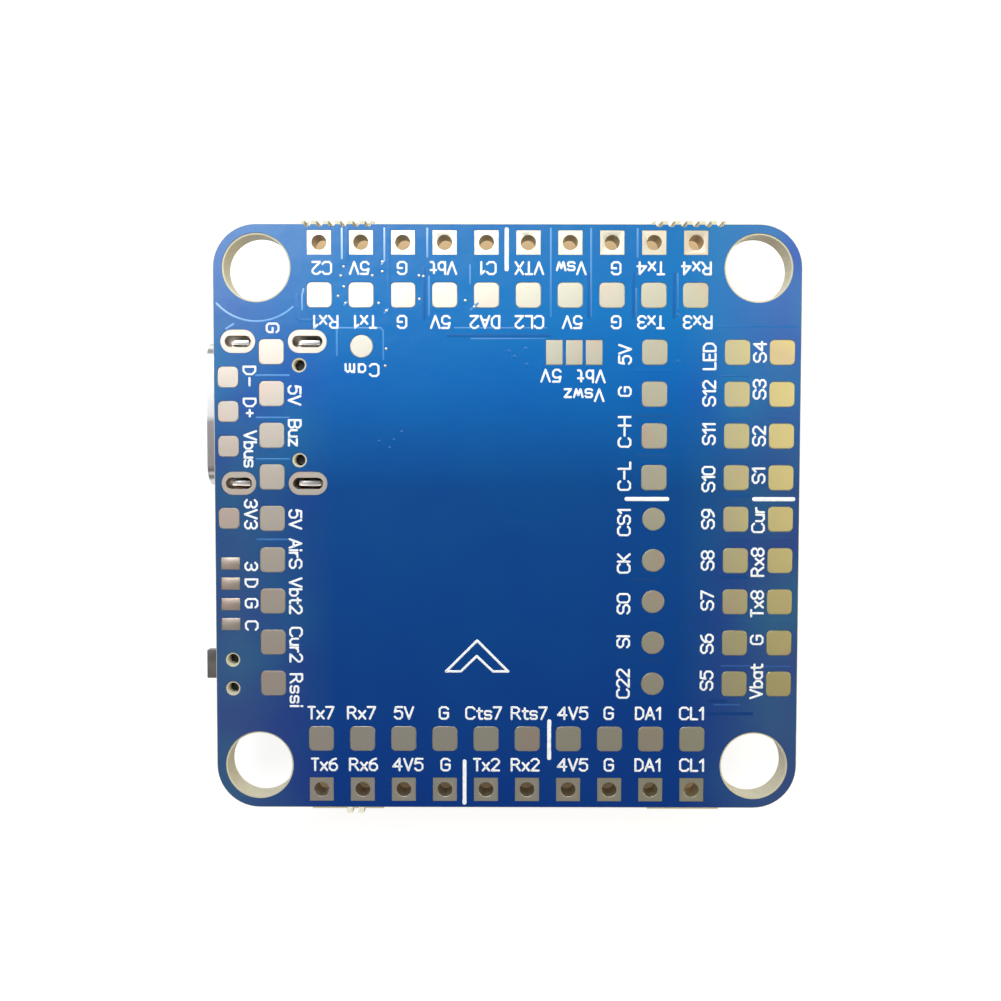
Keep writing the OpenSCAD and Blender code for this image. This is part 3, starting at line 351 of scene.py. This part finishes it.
# Each stroke is a run of points, a digit across and a hexadecimal digit up, on a field 12 high.
strokes = {
    "A": "00 4c 80, 14 74", "B": "00 0c 5c 7a 78 56 06, 56 74 72 50 00", "C": "8a 6c 2c 0a 02 20 60 82",
    "D": "00 0c 4c 79 73 40 00", "E": "6c 0c 00 60, 06 56", "G": "8a 6c 2c 0a 02 20 60 82 86 46",
    "H": "00 0c, 80 8c, 06 86", "I": "00 0c", "K": "00 0c, 7c 04, 26 70", "L": "0c 00 60",
    "O": "2c 6c 8a 82 60 20 02 0a 2c", "R": "00 0c 5c 7a 78 56 06, 46 80",
    "S": "8a 6c 2c 0a 08 26 66 84 82 60 20 02", "T": "0c 6c, 30 3c", "V": "0c 40 8c",
    "X": "00 7c, 0c 70", "a": "68 60, 66 48 28 06 02 20 40 62", "b": "0c 00, 06 28 48 66 62 40 20 02",
    "i": "00 08, 0b 0c", "m": "00 08, 06 28 46 40, 46 68 86 80", "r": "00 08, 05 28 48",
    "s": "67 58 18 07 05 14 54 63 61 50 10 01", "t": "2b 22 30 50, 08 58", "u": "08 02 20 40 62, 68 60",
    "w": "08 20 46 60 88", "x": "00 68, 08 60", "z": "08 68 00 60", "0": "2c 5c 7a 72 50 20 02 0a 2c",
    "1": "09 3c 30", "2": "0a 2c 5c 7a 78 00 70", "3": "0a 2c 5c 7a 78 56 26, 56 74 72 50 20 02",
    "4": "60 6c 04 84", "5": "7c 1c 07 28 58 76 72 50 20 02", "6": "6c 3b 08 02 20 50 72 75 57 27 05",
    "7": "0c 7c 20", "8": "26 08 0a 2c 5c 7a 78 56 26 04 02 20 50 72 74 56",
    "9": "10 41 74 7a 5c 2c 0a 07 25 55 77", "-": "06 76", "+": "06 66, 33 39",
}
field_height = 12
pen = 0.13
ink_height = 0.026
step_across, step_up = 0.065, 0.06


def written(text, at, turn, gap=2.4):
    """The strokes of a mark, centred on a point and turned by this many degrees. The gap between
    its letters is in steps across."""
    lines, x = [], 0
    for letter in text:
        glyph = [[(int(p[0], 16), int(p[1], 16)) for p in run.split()] for run in strokes[letter].split(",")]
        lines += [[(x + px, py - field_height / 2) for px, py in run] for run in glyph]
        x += max(px for run in glyph for px, py in run) + gap
    middle = (x - gap) / 2
    c, s = cos(radians(turn)), sin(radians(turn))
    flat = [[((px - middle) * step_across, py * step_up) for px, py in line] for line in lines]
    return [[(at[0] + px * c - py * s, at[1] + px * s + py * c) for px, py in line] for line in flat]


# The marks of a row are one pitch apart, and each is nudged along the row by so many mm.
marks = []
for names, y, turn, nudges in (
        ("C2 5V G Vbt C1 VTX Vsw G Tx4 Rx4", 15.22, 180,
         (0.17, -0.1, -0.04, -0.07, 0.12, 0.06, 0.06, 0.24, -0.2, 0.02)),
        ("Rx1 Tx1 G 5V DA2 CL2 5V G Tx3 Rx3", 11.97, 180,
         (0.4, 0.28, -0.05, -0.26, -0.09, 0.07, 0.13, 0.26, -0.17, 0.13)),
        ("Tx7 Rx7 5V G Cts7 Rts7 4V5 G DA1 CL1", -12.0, 0,
         (-0.02, -0.06, 0.02, -0.06, -0.15, 0.12, 0.26, -0.06, -0.18, -0.04)),
        ("Tx6 Rx6 4V5 G Tx2 Rx2 4V5 G DA1 CL1", -15.22, 0,
         (0.18, 0.05, 0.25, 0.04, 0.03, -0.12, 0.26, -0.03, -0.19, 0))):
    for i, (name, nudge) in enumerate(zip(names.split(), nudges)):
        marks += written(name, ((i - 4.5) * pitch + nudge, y), turn)
for names, x, nudges in (
        ("5V G C-H C-L CS1 CK SO SI C22", 7.16, (-0.13, 0.15, 0.24, 0.08, -0.22, -0.19, -0.13, 0.06, 0)),
        ("LED S12 S11 S10 S9 S8 S7 S6 S5", 12.3, (-0.25, 0.05, 0.11, -0.09, 0, 0, 0.08, -0.06, 0.2)),
        ("S4 S3 S2 S1 Cur Rx8 Tx8 G Vbat", 15.36, (0.03, 0.3, 0, 0.12, -0.05, -0.1, -0.12, 0.19, 0.16))):
    for i, (name, nudge) in enumerate(zip(names.split(), nudges)):
        marks += written(name, (x, (4 - i) * pitch + nudge), 90)
for names, x, ys in (
        ("G", -14.27, (11.6,)),
        ("Vbus 3V3 3 D G C", -15.68, (4.25, 0.25, -2.95, -3.98, -5.22, -6.6)),
        ("5V Buz 5V AirS Vbt2 Cur2", -12.96, (7.51, 5.23, -0.06, -2.16, -4.76, -7.78))):
    for name, y in zip(names.split(), ys):
        marks += written(name, (x, y), -90)
for name, at in (("D-", (-15.7, 8.68)), ("D+", (-15.7, 6.77)), ("Rssi", (-12.96, -10.6))):
    marks += written(name, at, -90, 3.5)
for name, at, gap in (("Cam", (-8.84, 9.05), 4.4), ("5V", (2.66, 8.73), 3), ("Vbt", (5.12, 8.69), 3),
                      ("Vswz", (4.68, 7.55), 2.8)):
    marks += written(name, at, 180, gap)

arrow = [[(-3.73, -9.41), (-1.82, -7.5), (0.09, -9.41), (-0.84, -9.41), (-1.85, -8.46), (-2.82, -9.41),
          (-3.73, -9.41)]]
dividers = [[(-0.05, 17.55), (-0.05, 15.15)], [(2.63, -12.5), (2.63, -14.8)],
            [(-2.6, -15), (-2.6, -17.6)], [(7.3, 1.23), (9.8, 1.23)], [(15.1, 1.23), (17.5, 1.23)]]
for name, lines, width in (("terminal_marks", marks, pen), ("heading_arrow", arrow, 0.15),
                           ("terminal_dividers", dividers, 0.25)):
    drawn_lines(name, lines, width, top=mask_top + ink_height, height=ink_height,
                finish=white_ink)


# ---------- solder pads ----------
# Etched copper with a thin tinned finish and a wash of gold: pale champagne, satin, and a little
# different from pad to pad. Their rims are rounded, where the plating drew back as it set.

plated, tree, shader = new_finish("gold_washed_tinned_copper", "#dccfa6", 0.4, {"Metallic": 1})
place = add(tree, "TexCoord").outputs["Object"]
# The pads are painted yellower along the right edge and pinkish grey along the left: painted
# reflections of the warm right lamp and the pink left lamp. Some pads came out of the wash pinker.
rightwards = add(tree, "SeparateXYZ", {"Vector": place}).outputs["X"]
left_to_right = add(tree, "MapRange", {"Value": rightwards, "From Min": -board_half, "From Max": board_half})
wash_and_reflections = add(tree, "ValToRGB", {"Fac": left_to_right.outputs["Result"]}, (
    (0, "#cfc4b8"), (0.3, "#cdc8bb"), (0.82, "#cfccb6"), (0.93, "#ddd4a0"), (1, "#e0d49c")))
each_pad = add(tree, "TexNoise", {"Vector": place, "Scale": 1 / (3.6 * mm), "Detail": 1}).outputs["Fac"]
pinker = add(tree, "MapRange", {"Value": each_pad, "From Min": 0.52, "From Max": 0.7, "To Max": 0.5})
pad_tone = add(tree, "Mix", {0: pinker.outputs["Result"], 6: wash_and_reflections.outputs["Color"],
                             7: linear("#dcbfb0")}, data_type="RGBA")
tree.links.new(pad_tone.outputs[2], shader.inputs["Base Color"])
# Rolling marks and small pits of the plating, drawn at 0.12 mm so that they show.
pits = add(tree, "TexNoise", {"Vector": place, "Scale": 1 / (0.12 * mm), "Detail": 4}).outputs["Fac"]
bump = add(tree, "Bump", {"Height": pits, "Distance": 0.004 * mm, "Strength": 1})
tree.links.new(bump.outputs["Normal"], shader.inputs["Normal"])

domes("open_vias", ((-9.94, 15.3), (-10.11, 14.75), (-8.2, 14.77), (-7.59, 15.6), (-7.59, 15.01),
                    (-9.93, 14.1), (-10.29, 13.53), (-9.83, 13.1), (-7.82, 13.1), (-7.35, 12.65),
                    (-7.37, 10.35), (-7.43, 9.31), (-5.37, 14.77), (-5.1, 14.73), (-5.34, 13.36),
                    (-2.56, 13.27), (-2, 12.9)),
      size=0.18, flatness=0.2, finish=plated)


def merged(name):
    """A copy of a node's mesh with its loose triangles joined into faces."""
    shape = bmesh.new()
    shape.from_mesh(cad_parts[name].data)
    bmesh.ops.remove_doubles(shape, verts=shape.verts, dist=0.0005 * mm)
    bmesh.ops.dissolve_limit(shape, angle_limit=radians(1), verts=shape.verts, edges=shape.edges)
    return shape


def rounded(name, finish, width, segments=2, corner=40, longest=100, body="board"):
    """A piece that stands for a node: the same shape, its edges rounded by width mm. Edges that turn
    by less than corner degrees, or are over longest mm long, stay as they are."""
    shape = merged(name)
    edges = [edge for edge in shape.edges if edge.is_manifold and edge.calc_length() < longest * mm
             and edge.calc_face_angle(0) > radians(corner)]
    bmesh.ops.bevel(shape, geom=edges, offset=width * mm, segments=segments, profile=0.5,
                    affect="EDGES", clamp_overlap=True, material=-1)
    piece(shape, name + "_rounded", finish, body, stands_for=name)


for name in ("square_wire_pads", "round_signal_pads", "edge_pads", "jumper_pads"):
    rounded(name, plated, 0.03)


# ---------- plated holes ----------
# The wire holes and the slots for the USB legs are plated through: copper 30 um thick lines the
# wall and joins a ring on each face, with the same finish as the pads.

dress(plated, "anchor_barrels", "component_lands")
# The rims of the wire holes are rounded and catch the light. The long edges of their rings are
# left crisp.
rounded("header_barrels", plated, 0.12, segments=4, corner=60, longest=0.3)


# ---------- USB socket ----------
# A steel shell, deep drawn and nickel plated, round a black glass-filled tongue with gold-plated
# contacts. Its legs go through the plated slots, where they are soldered.

def rolled_steel(name, colour, light, roughness, across):
    """Plated strip steel: fine rolling lines along the strip, and faint stains of handling."""
    finish, tree, shader = new_finish(name, colour, roughness, {"Metallic": 1})
    place = add(tree, "TexCoord").outputs["Object"]
    drawn = add(tree, "Mapping", {"Vector": place, "Scale": across})
    lines = add(tree, "TexNoise", {"Vector": drawn.outputs["Vector"], "Scale": 1 / (0.05 * mm),
                                   "Detail": 3}).outputs["Fac"]
    stains = add(tree, "TexNoise", {"Vector": place, "Scale": 1 / (2.5 * mm), "Detail": 3}).outputs["Fac"]
    stained = add(tree, "ValToRGB", {"Fac": stains}, ((0.35, colour), (0.65, light)))
    tree.links.new(stained.outputs["Color"], shader.inputs["Base Color"])
    bump = add(tree, "Bump", {"Height": lines, "Distance": 0.003 * mm, "Strength": 1})
    tree.links.new(bump.outputs["Normal"], shader.inputs["Normal"])
    return finish


# Nickel over steel is a warm light grey with a satin shine.
nickel = rolled_steel("nickel_plated_steel", "#a9a59f", "#c6c3bd", 0.3, (0.08, 1, 1))
dress(nickel, "usb_midplate")
# The shell's upper wall is painted near white, a painted highlight, except for a grey band at its
# middle. Lower down the shell is grey.
painted_bright_shell = rolled_steel("nickel_shell_painted_highlight", "#fbfaf6", "#ffffff", 0.28, (0.08, 1, 1))
tree = painted_bright_shell.node_tree
shader = tree.nodes["Principled BSDF"]
axes = add(tree, "SeparateXYZ", {"Vector": add(tree, "TexCoord").outputs["Object"]}).outputs
along_shell = add(tree, "MapRange", {"Value": axes["Y"], "From Min": 2 * mm, "From Max": 8 * mm})
band = add(tree, "ValToRGB", {"Fac": along_shell.outputs["Result"]}, (
    (0, "#ffffff"), (0.12, "#bab5b4"), (0.66, "#b8b3b2"), (0.72, "#ffffff")))
upper = add(tree, "MapRange", {"Value": axes["Z"], "From Min": -2.5 * mm, "From Max": -1.9 * mm})
shell_tone = add(tree, "Mix", {0: upper.outputs["Result"], 6: linear("#b9b4b0"),
                               7: band.outputs["Color"]}, data_type="RGBA")
tree.links.new(shell_tone.outputs[2], shader.inputs["Base Color"])
rounded("usb_shell", painted_bright_shell, 0.06)


def moulded(name, colour, light, roughness, grain, depth, sockets=None):
    """A moulded or fired surface: a fine grain, grain mm across, and a slightly uneven colour. The
    grain is drawn coarser than it is, so that it shows."""
    finish, tree, shader = new_finish(name, colour, roughness, sockets)
    place = add(tree, "TexCoord").outputs["Object"]
    fine = add(tree, "TexNoise", {"Vector": place, "Scale": 1 / (grain * mm), "Detail": 4}).outputs["Fac"]
    clouds = add(tree, "TexNoise", {"Vector": place, "Scale": 1 / (14 * grain * mm), "Detail": 3})
    cloudy = add(tree, "ValToRGB", {"Fac": clouds.outputs["Fac"]}, ((0.35, colour), (0.65, light)))
    tree.links.new(cloudy.outputs["Color"], shader.inputs["Base Color"])
    bump = add(tree, "Bump", {"Height": fine, "Distance": depth * mm, "Strength": 1})
    tree.links.new(bump.outputs["Normal"], shader.inputs["Normal"])
    return finish


# Nylon with glass fibre in it is a matt black, greyer where the fibres reach the surface.
black_nylon = moulded("black_glass_filled_nylon", "#151617", "#222425", 0.5, 0.05, 0.006)
dress(black_nylon, "usb_insulator")

# Gold over nickel is a deep warm yellow, paler where plugs have wiped it.
gold = patchy("selective_gold_plating", "#e3b54a", ("#dcae45", "#efc662"), 0.25, 0.3, 3, 0.002,
              {"Metallic": 1})
dress(gold, "usb_contacts")


# ---------- boot button ----------
# A side-push switch: black base, stamped steel cover, and a grey plunger that bears on a sprung
# steel dome. The plunger slides 0.2 mm into the base.

# Stamped stainless strip is brighter and cooler than the nickel. The disc's spring steel is rolled
# harder, so it is darker and smoother.
bright_steel = rolled_steel("bright_stamped_steel", "#b5b5b4", "#d0d0ce", 0.26, (1, 0.08, 1))
dress(black_nylon, "switch_base")
rounded("switch_cover", bright_steel, 0.03)
spring_steel = rolled_steel("stainless_spring_steel", "#9c9b98", "#b4b3b0", 0.22, (1, 0.1, 1))
dress(spring_steel, "switch_dome")
# Acetal is a soft, slightly waxy grey.
grey_acetal = moulded("grey_moulded_acetal", "#5c5856", "#6b6764", 0.42, 0.06, 0.004)
rounded("switch_button", grey_acetal, 0.06, segments=3, body="button")


# ---------- memory card socket ----------
# A bright stamped cover with two sprung tongues, folded over a black tray that carries eight
# gold-plated fingers and the two card-detect blades.

rounded("card_cover", bright_steel, 0.04)
dress(black_nylon, "card_tray")
dress(gold, "card_contacts", "card_detect_contacts")


# ---------- wire sockets ----------
# Cream nylon housings on a 1 mm pitch, one for the speed controllers, one for the data bus and
# one for video, each with tinned pins and two anchor tabs soldered at its sides.

# Unfilled nylon lets a little light in, so its edges look soft.
cream_nylon = moulded("cream_moulded_nylon", "#e6dfc9", "#f2eddc", 0.45, 0.08, 0.006, {
    "Subsurface Weight": 0.15, "Subsurface Radius": (0.5 * mm, 0.4 * mm, 0.25 * mm)})
for name in ("esc_socket", "can_socket", "video_socket"):
    rounded(name, cream_nylon, 0.05)

# Matt tin over copper alloy, as on all leads and end caps: light grey and faintly grained.
matt_tin = rolled_steel("matt_tin_plating", "#b9bbbb", "#d3d5d4", 0.42, (1, 1, 0.3))
dress(matt_tin, "esc_contacts", "can_contacts", "video_contacts", "socket_anchor_tabs",
      "switch_terminals", "overlay_chip_leads", "can_transceiver_leads", "buck_regulator_leads",
      "inductor_terminals", "linear_regulator_leads", "transistor_leads", "chip_terminals",
      "power_capacitor_terminals", "protection_diode_terminals")


# ---------- chips ----------
# Silica-filled epoxy, transfer moulded: near black, dry and slightly sparkling, with eased edges
# and a shallow pin-one mark. The processor's cap sits on a green laminate with a grid of balls.

moulding = moulded("black_epoxy_moulding_compound", "#1b1b1d", "#2a2a2c", 0.55, 0.04, 0.008)
for name in ("processor_cap", "overlay_chip", "motion_sensors", "can_transceiver", "buck_regulator",
             "linear_regulators", "transistors", "protection_diode"):
    rounded(name, moulding, 0.06)
# A package's own laminate has a dark green satin film.
green_laminate = moulded("green_package_laminate", "#0f3a24", "#17502f", 0.4, 0.1, 0.004)
dress(green_laminate, "processor_substrate", "pressure_sensor_base")
rounded("pressure_sensor_lid", bright_steel, 0.05)


def solids_of(name):
    """The lowest and highest corners of each separate solid of a node."""
    shape, seen, boxes = merged(name), set(), []
    for start in shape.verts:
        if start in seen:
            continue
        group = [start]
        seen.add(start)
        for vert in group:
            for edge in vert.link_edges:
                other = edge.other_vert(vert)
                if other not in seen:
                    seen.add(other)
                    group.append(other)
        boxes.append([Vector([pick(vert.co[k] for vert in group) for k in range(3)])
                      for pick in (min, max)])
    shape.free()
    return boxes


# The pin-one mark is a shallow dished ring left by the mould's ejector pin.
dots = bmesh.new()
for name, size in (("processor_cap", 0.45), ("overlay_chip", 0.35), ("can_transceiver", 0.3),
                   ("motion_sensors", 0.2), ("buck_regulator", 0.15), ("linear_regulators", 0.15)):
    for low, high in solids_of(name):
        inset = size * 1.6 * mm
        ring = bmesh.ops.create_circle(dots, cap_ends=True, radius=size * mm, segments=28)
        face = ring["verts"][0].link_faces[0]
        bmesh.ops.inset_individual(dots, faces=[face], thickness=0.04 * mm, depth=0.012 * mm)
        bmesh.ops.inset_individual(dots, faces=[face], thickness=0.05 * mm, depth=-0.014 * mm)
        # The new ring is still round the origin, and the rings already in place are tagged.
        ring_verts = {v for v in dots.verts if v.co.length < 0.9 * mm and not v.tag}
        bmesh.ops.rotate(dots, verts=list(ring_verts), matrix=Matrix.Rotation(pi, 3, "X"))
        bmesh.ops.translate(dots, verts=list(ring_verts),
                            vec=(low.x + inset, high.y - inset, low.z - 0.001 * mm))
        for vert in ring_verts:
            vert.tag = True
piece(dots, "pin_one_marks", moulding)


# ---------- solder ----------
# Reflowed tin-silver solder: bright, smooth and domed where it has wetted the lands, the balls
# under the processor, and the legs in the USB slots.

solder = patchy("reflowed_solder", "#c9cbcc", ("#b4b7b8", "#dcdedd"), 0.2, 0.15, 4, 0.006, {"Metallic": 1})
dress(solder, "processor_balls")

under_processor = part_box("processor_substrate")
joints = bmesh.new()
for low, high in solids_of("component_lands"):
    middle, size = (low + high) / 2, high - low
    if all(under_processor[0][k] < middle[k] < under_processor[1][k] for k in (0, 1)):
        continue
    # The solder stands up to 0.12 mm high, and less on the small lands.
    lift = min(0.12 * mm, 0.3 * min(size.x, size.y))
    block = bmesh.ops.create_cube(joints, size=1)["verts"]
    bmesh.ops.scale(joints, verts=block, vec=(size.x * 0.96, size.y * 0.96, lift))
    bmesh.ops.translate(joints, verts=block, vec=(middle.x, middle.y, low.z - lift / 2))
    edges = list({edge for vert in block for edge in vert.link_edges})
    bmesh.ops.bevel(joints, geom=edges, offset=lift * 0.45, segments=2, profile=0.5,
                    affect="EDGES", clamp_overlap=True, material=-1)
piece(joints, "solder_joints", solder, sharp=80)

# In the slots it fills the room beside the legs, up to 0.55 mm below the pad face.
fills = bmesh.new()
for low, high in solids_of("anchor_barrels"):
    middle, size = (low + high) / 2, high - low
    drop = bmesh.ops.create_icosphere(fills, subdivisions=3, radius=1)["verts"]
    bmesh.ops.scale(fills, verts=drop, vec=(size.x / 2 - 0.28 * mm, size.y / 2 - 0.38 * mm, 0.55 * mm))
    bmesh.ops.translate(fills, verts=drop, vec=(middle.x + 0.1 * mm, middle.y, -1.1 * mm))
piece(fills, "leg_solder", solder, sharp=80)


# ---------- small parts ----------
# Chip resistors and capacitors, two crystals, the inductor and three status lights, each on its
# two or four solder lands.

# Capacitors are bare fired ceramic, tan and matt. Resistors have a glossy black glass glaze, crystal
# bases are chalky white ceramic under a warm grey rolled lid, and ferrite is dark, dry and grainy.
brown_ceramic = moulded("barium_titanate_ceramic", "#8d7250", "#a88b66", 0.48, 0.05, 0.005)
black_glaze = moulded("black_glass_overglaze", "#1a1c20", "#26282c", 0.28, 0.08, 0.003)
white_ceramic = moulded("white_alumina_ceramic", "#cfc9bb", "#e0dbcf", 0.6, 0.05, 0.005)
ferrite = moulded("sintered_ferrite", "#3b3b3d", "#4c4c4e", 0.7, 0.06, 0.015)
dark_lid = rolled_steel("kovar_lid", "#a29d92", "#bdb8ab", 0.32, (0.1, 1, 1))
for name, finish, width in (
        ("chip_capacitors", brown_ceramic, 0.04), ("power_capacitors", brown_ceramic, 0.08),
        ("chip_resistors", black_glaze, 0.03), ("crystal_bases", white_ceramic, 0.05),
        ("crystal_lids", dark_lid, 0.05), ("inductor_core", ferrite, 0.2)):
    rounded(name, finish, width)

# The lamps' white resin is smooth and bright, to throw the light forwards.
white_resin = moulded("white_moulded_resin", "#e8e8e4", "#f4f4f1", 0.4, 0.06, 0.004)
rounded("status_led_bases", white_resin, 0.04)
# Clear silicone with yellow phosphor behind it.
lens_resin = moulded("phosphor_filled_silicone", "#e9dc8e", "#f1e8ae", 0.15, 0.3, 0.002,
                     {"Transmission Weight": 0.35, "IOR": 1.41})
rounded("status_led_lenses", lens_resin, 0.1)


# ---------- floor and light ----------
# The board lies on its parts on a plain white sheet. One large soft lamp stands over the front
# edge, a warm one to the right, and weak ones to the left and behind the rear edge.

ground = bmesh.new()
bmesh.ops.create_grid(ground, x_segments=1, y_segments=1, size=600 * mm)
bmesh.ops.translate(ground, verts=ground.verts, vec=(0, 0, cad_box[0].z))
floor_mesh = bpy.data.meshes.new("floor")
ground.to_mesh(floor_mesh)
ground.free()
floor = bpy.data.objects.new("floor", floor_mesh)
bpy.context.scene.collection.objects.link(floor)
white_sheet, tree, shader = new_finish("white_paper_sheet", "#a2a09c", 0.9)
seen = add(tree, "LightPath")
direct = add(tree, "Math", {0: seen.outputs["Is Camera Ray"], 1: seen.outputs["Is Glossy Ray"]},
             operation="MAXIMUM").outputs["Value"]
# The sheet glows round the board and under its four open corners, and stays dark under the rest.
place = add(tree, "TexCoord").outputs["Object"]
folded = add(tree, "VectorMath", {0: place}, operation="ABSOLUTE").outputs["Vector"]
axes = add(tree, "SeparateXYZ", {"Vector": folded})
furthest = add(tree, "Math", {0: axes.outputs["X"], 1: axes.outputs["Y"]}, operation="MAXIMUM")
corner = (17.5 * mm, 17.5 * mm, -cad_box[0].z)
near = add(tree, "VectorMath", {0: folded, 1: corner}, operation="DISTANCE").outputs["Value"]
outside = add(tree, "MapRange", {"Value": furthest.outputs["Value"], "From Min": 18.4 * mm,
                                 "From Max": 19.2 * mm}).outputs["Result"]
at_corner = add(tree, "MapRange", {"Value": near, "From Min": 4.6 * mm, "From Max": 3.9 * mm})
open_sheet = add(tree, "Math", {0: outside, 1: at_corner.outputs["Result"]}, operation="MAXIMUM")
shine = add(tree, "Math", {0: direct, 1: open_sheet.outputs["Value"]}, operation="MULTIPLY").outputs["Value"]
glow = add(tree, "Math", {0: shine, 1: 0.85}, operation="MULTIPLY").outputs["Value"]
shader.inputs["Emission Color"].default_value = (1, 1, 1, 1)
tree.links.new(glow, shader.inputs["Emission Strength"])
# Under the board the sheet is painted a warm tint, a painted stand-in for the light that comes
# through the laminate.
tint = add(tree, "ValToRGB", {"Fac": open_sheet.outputs["Value"]}, ((0, "#d1b185"), (1, "#a2a09c")))
tree.links.new(tint.outputs["Color"], shader.inputs["Base Color"])
# From below it is clear, so that the parts can be looked at.
from_below = add(tree, "NewGeometry").outputs["Backfacing"]
opacity = add(tree, "Math", {0: 1, 1: from_below}, operation="SUBTRACT").outputs["Value"]
tree.links.new(opacity, shader.inputs["Alpha"])
floor_mesh.materials.append(white_sheet)


def soft_lamp(name, at, size, power, colour):
    data = bpy.data.lights.new(name, "AREA")
    data.shape = "RECTANGLE"
    data.size, data.size_y = size[0] * mm, size[1] * mm
    data.energy, data.color = power, colour
    lamp = bpy.data.objects.new(name, data)
    lamp.location = Vector(at) * mm
    lamp.rotation_mode = "QUATERNION"
    lamp.rotation_quaternion = (-lamp.location).to_track_quat("-Z", "Y")
    bpy.context.scene.collection.objects.link(lamp)


soft_lamp("front_softbox", (-20, 56, 75), (90, 45), 0.097, (0.94, 0.97, 1))
soft_lamp("right_fill", (90, 20, 80), (60, 60), 0.06, (1, 0.88, 0.6))
soft_lamp("left_fill", (-62, -15, 75), (40, 60), 0.003, (1, 0.82, 0.78))
soft_lamp("rear_fill", (-30, -110, 85), (90, 30), 0.016, (0.95, 0.97, 1))

# The room's pale walls lift the shadows.
world = bpy.data.worlds.new("pale_room")
world.use_nodes = True
world.node_tree.nodes["Background"].inputs["Color"].default_value = (1, 1, 1, 1)
world.node_tree.nodes["Background"].inputs["Strength"].default_value = 0.2
bpy.context.scene.world = world
bpy.context.scene.view_settings.view_transform = "Standard"
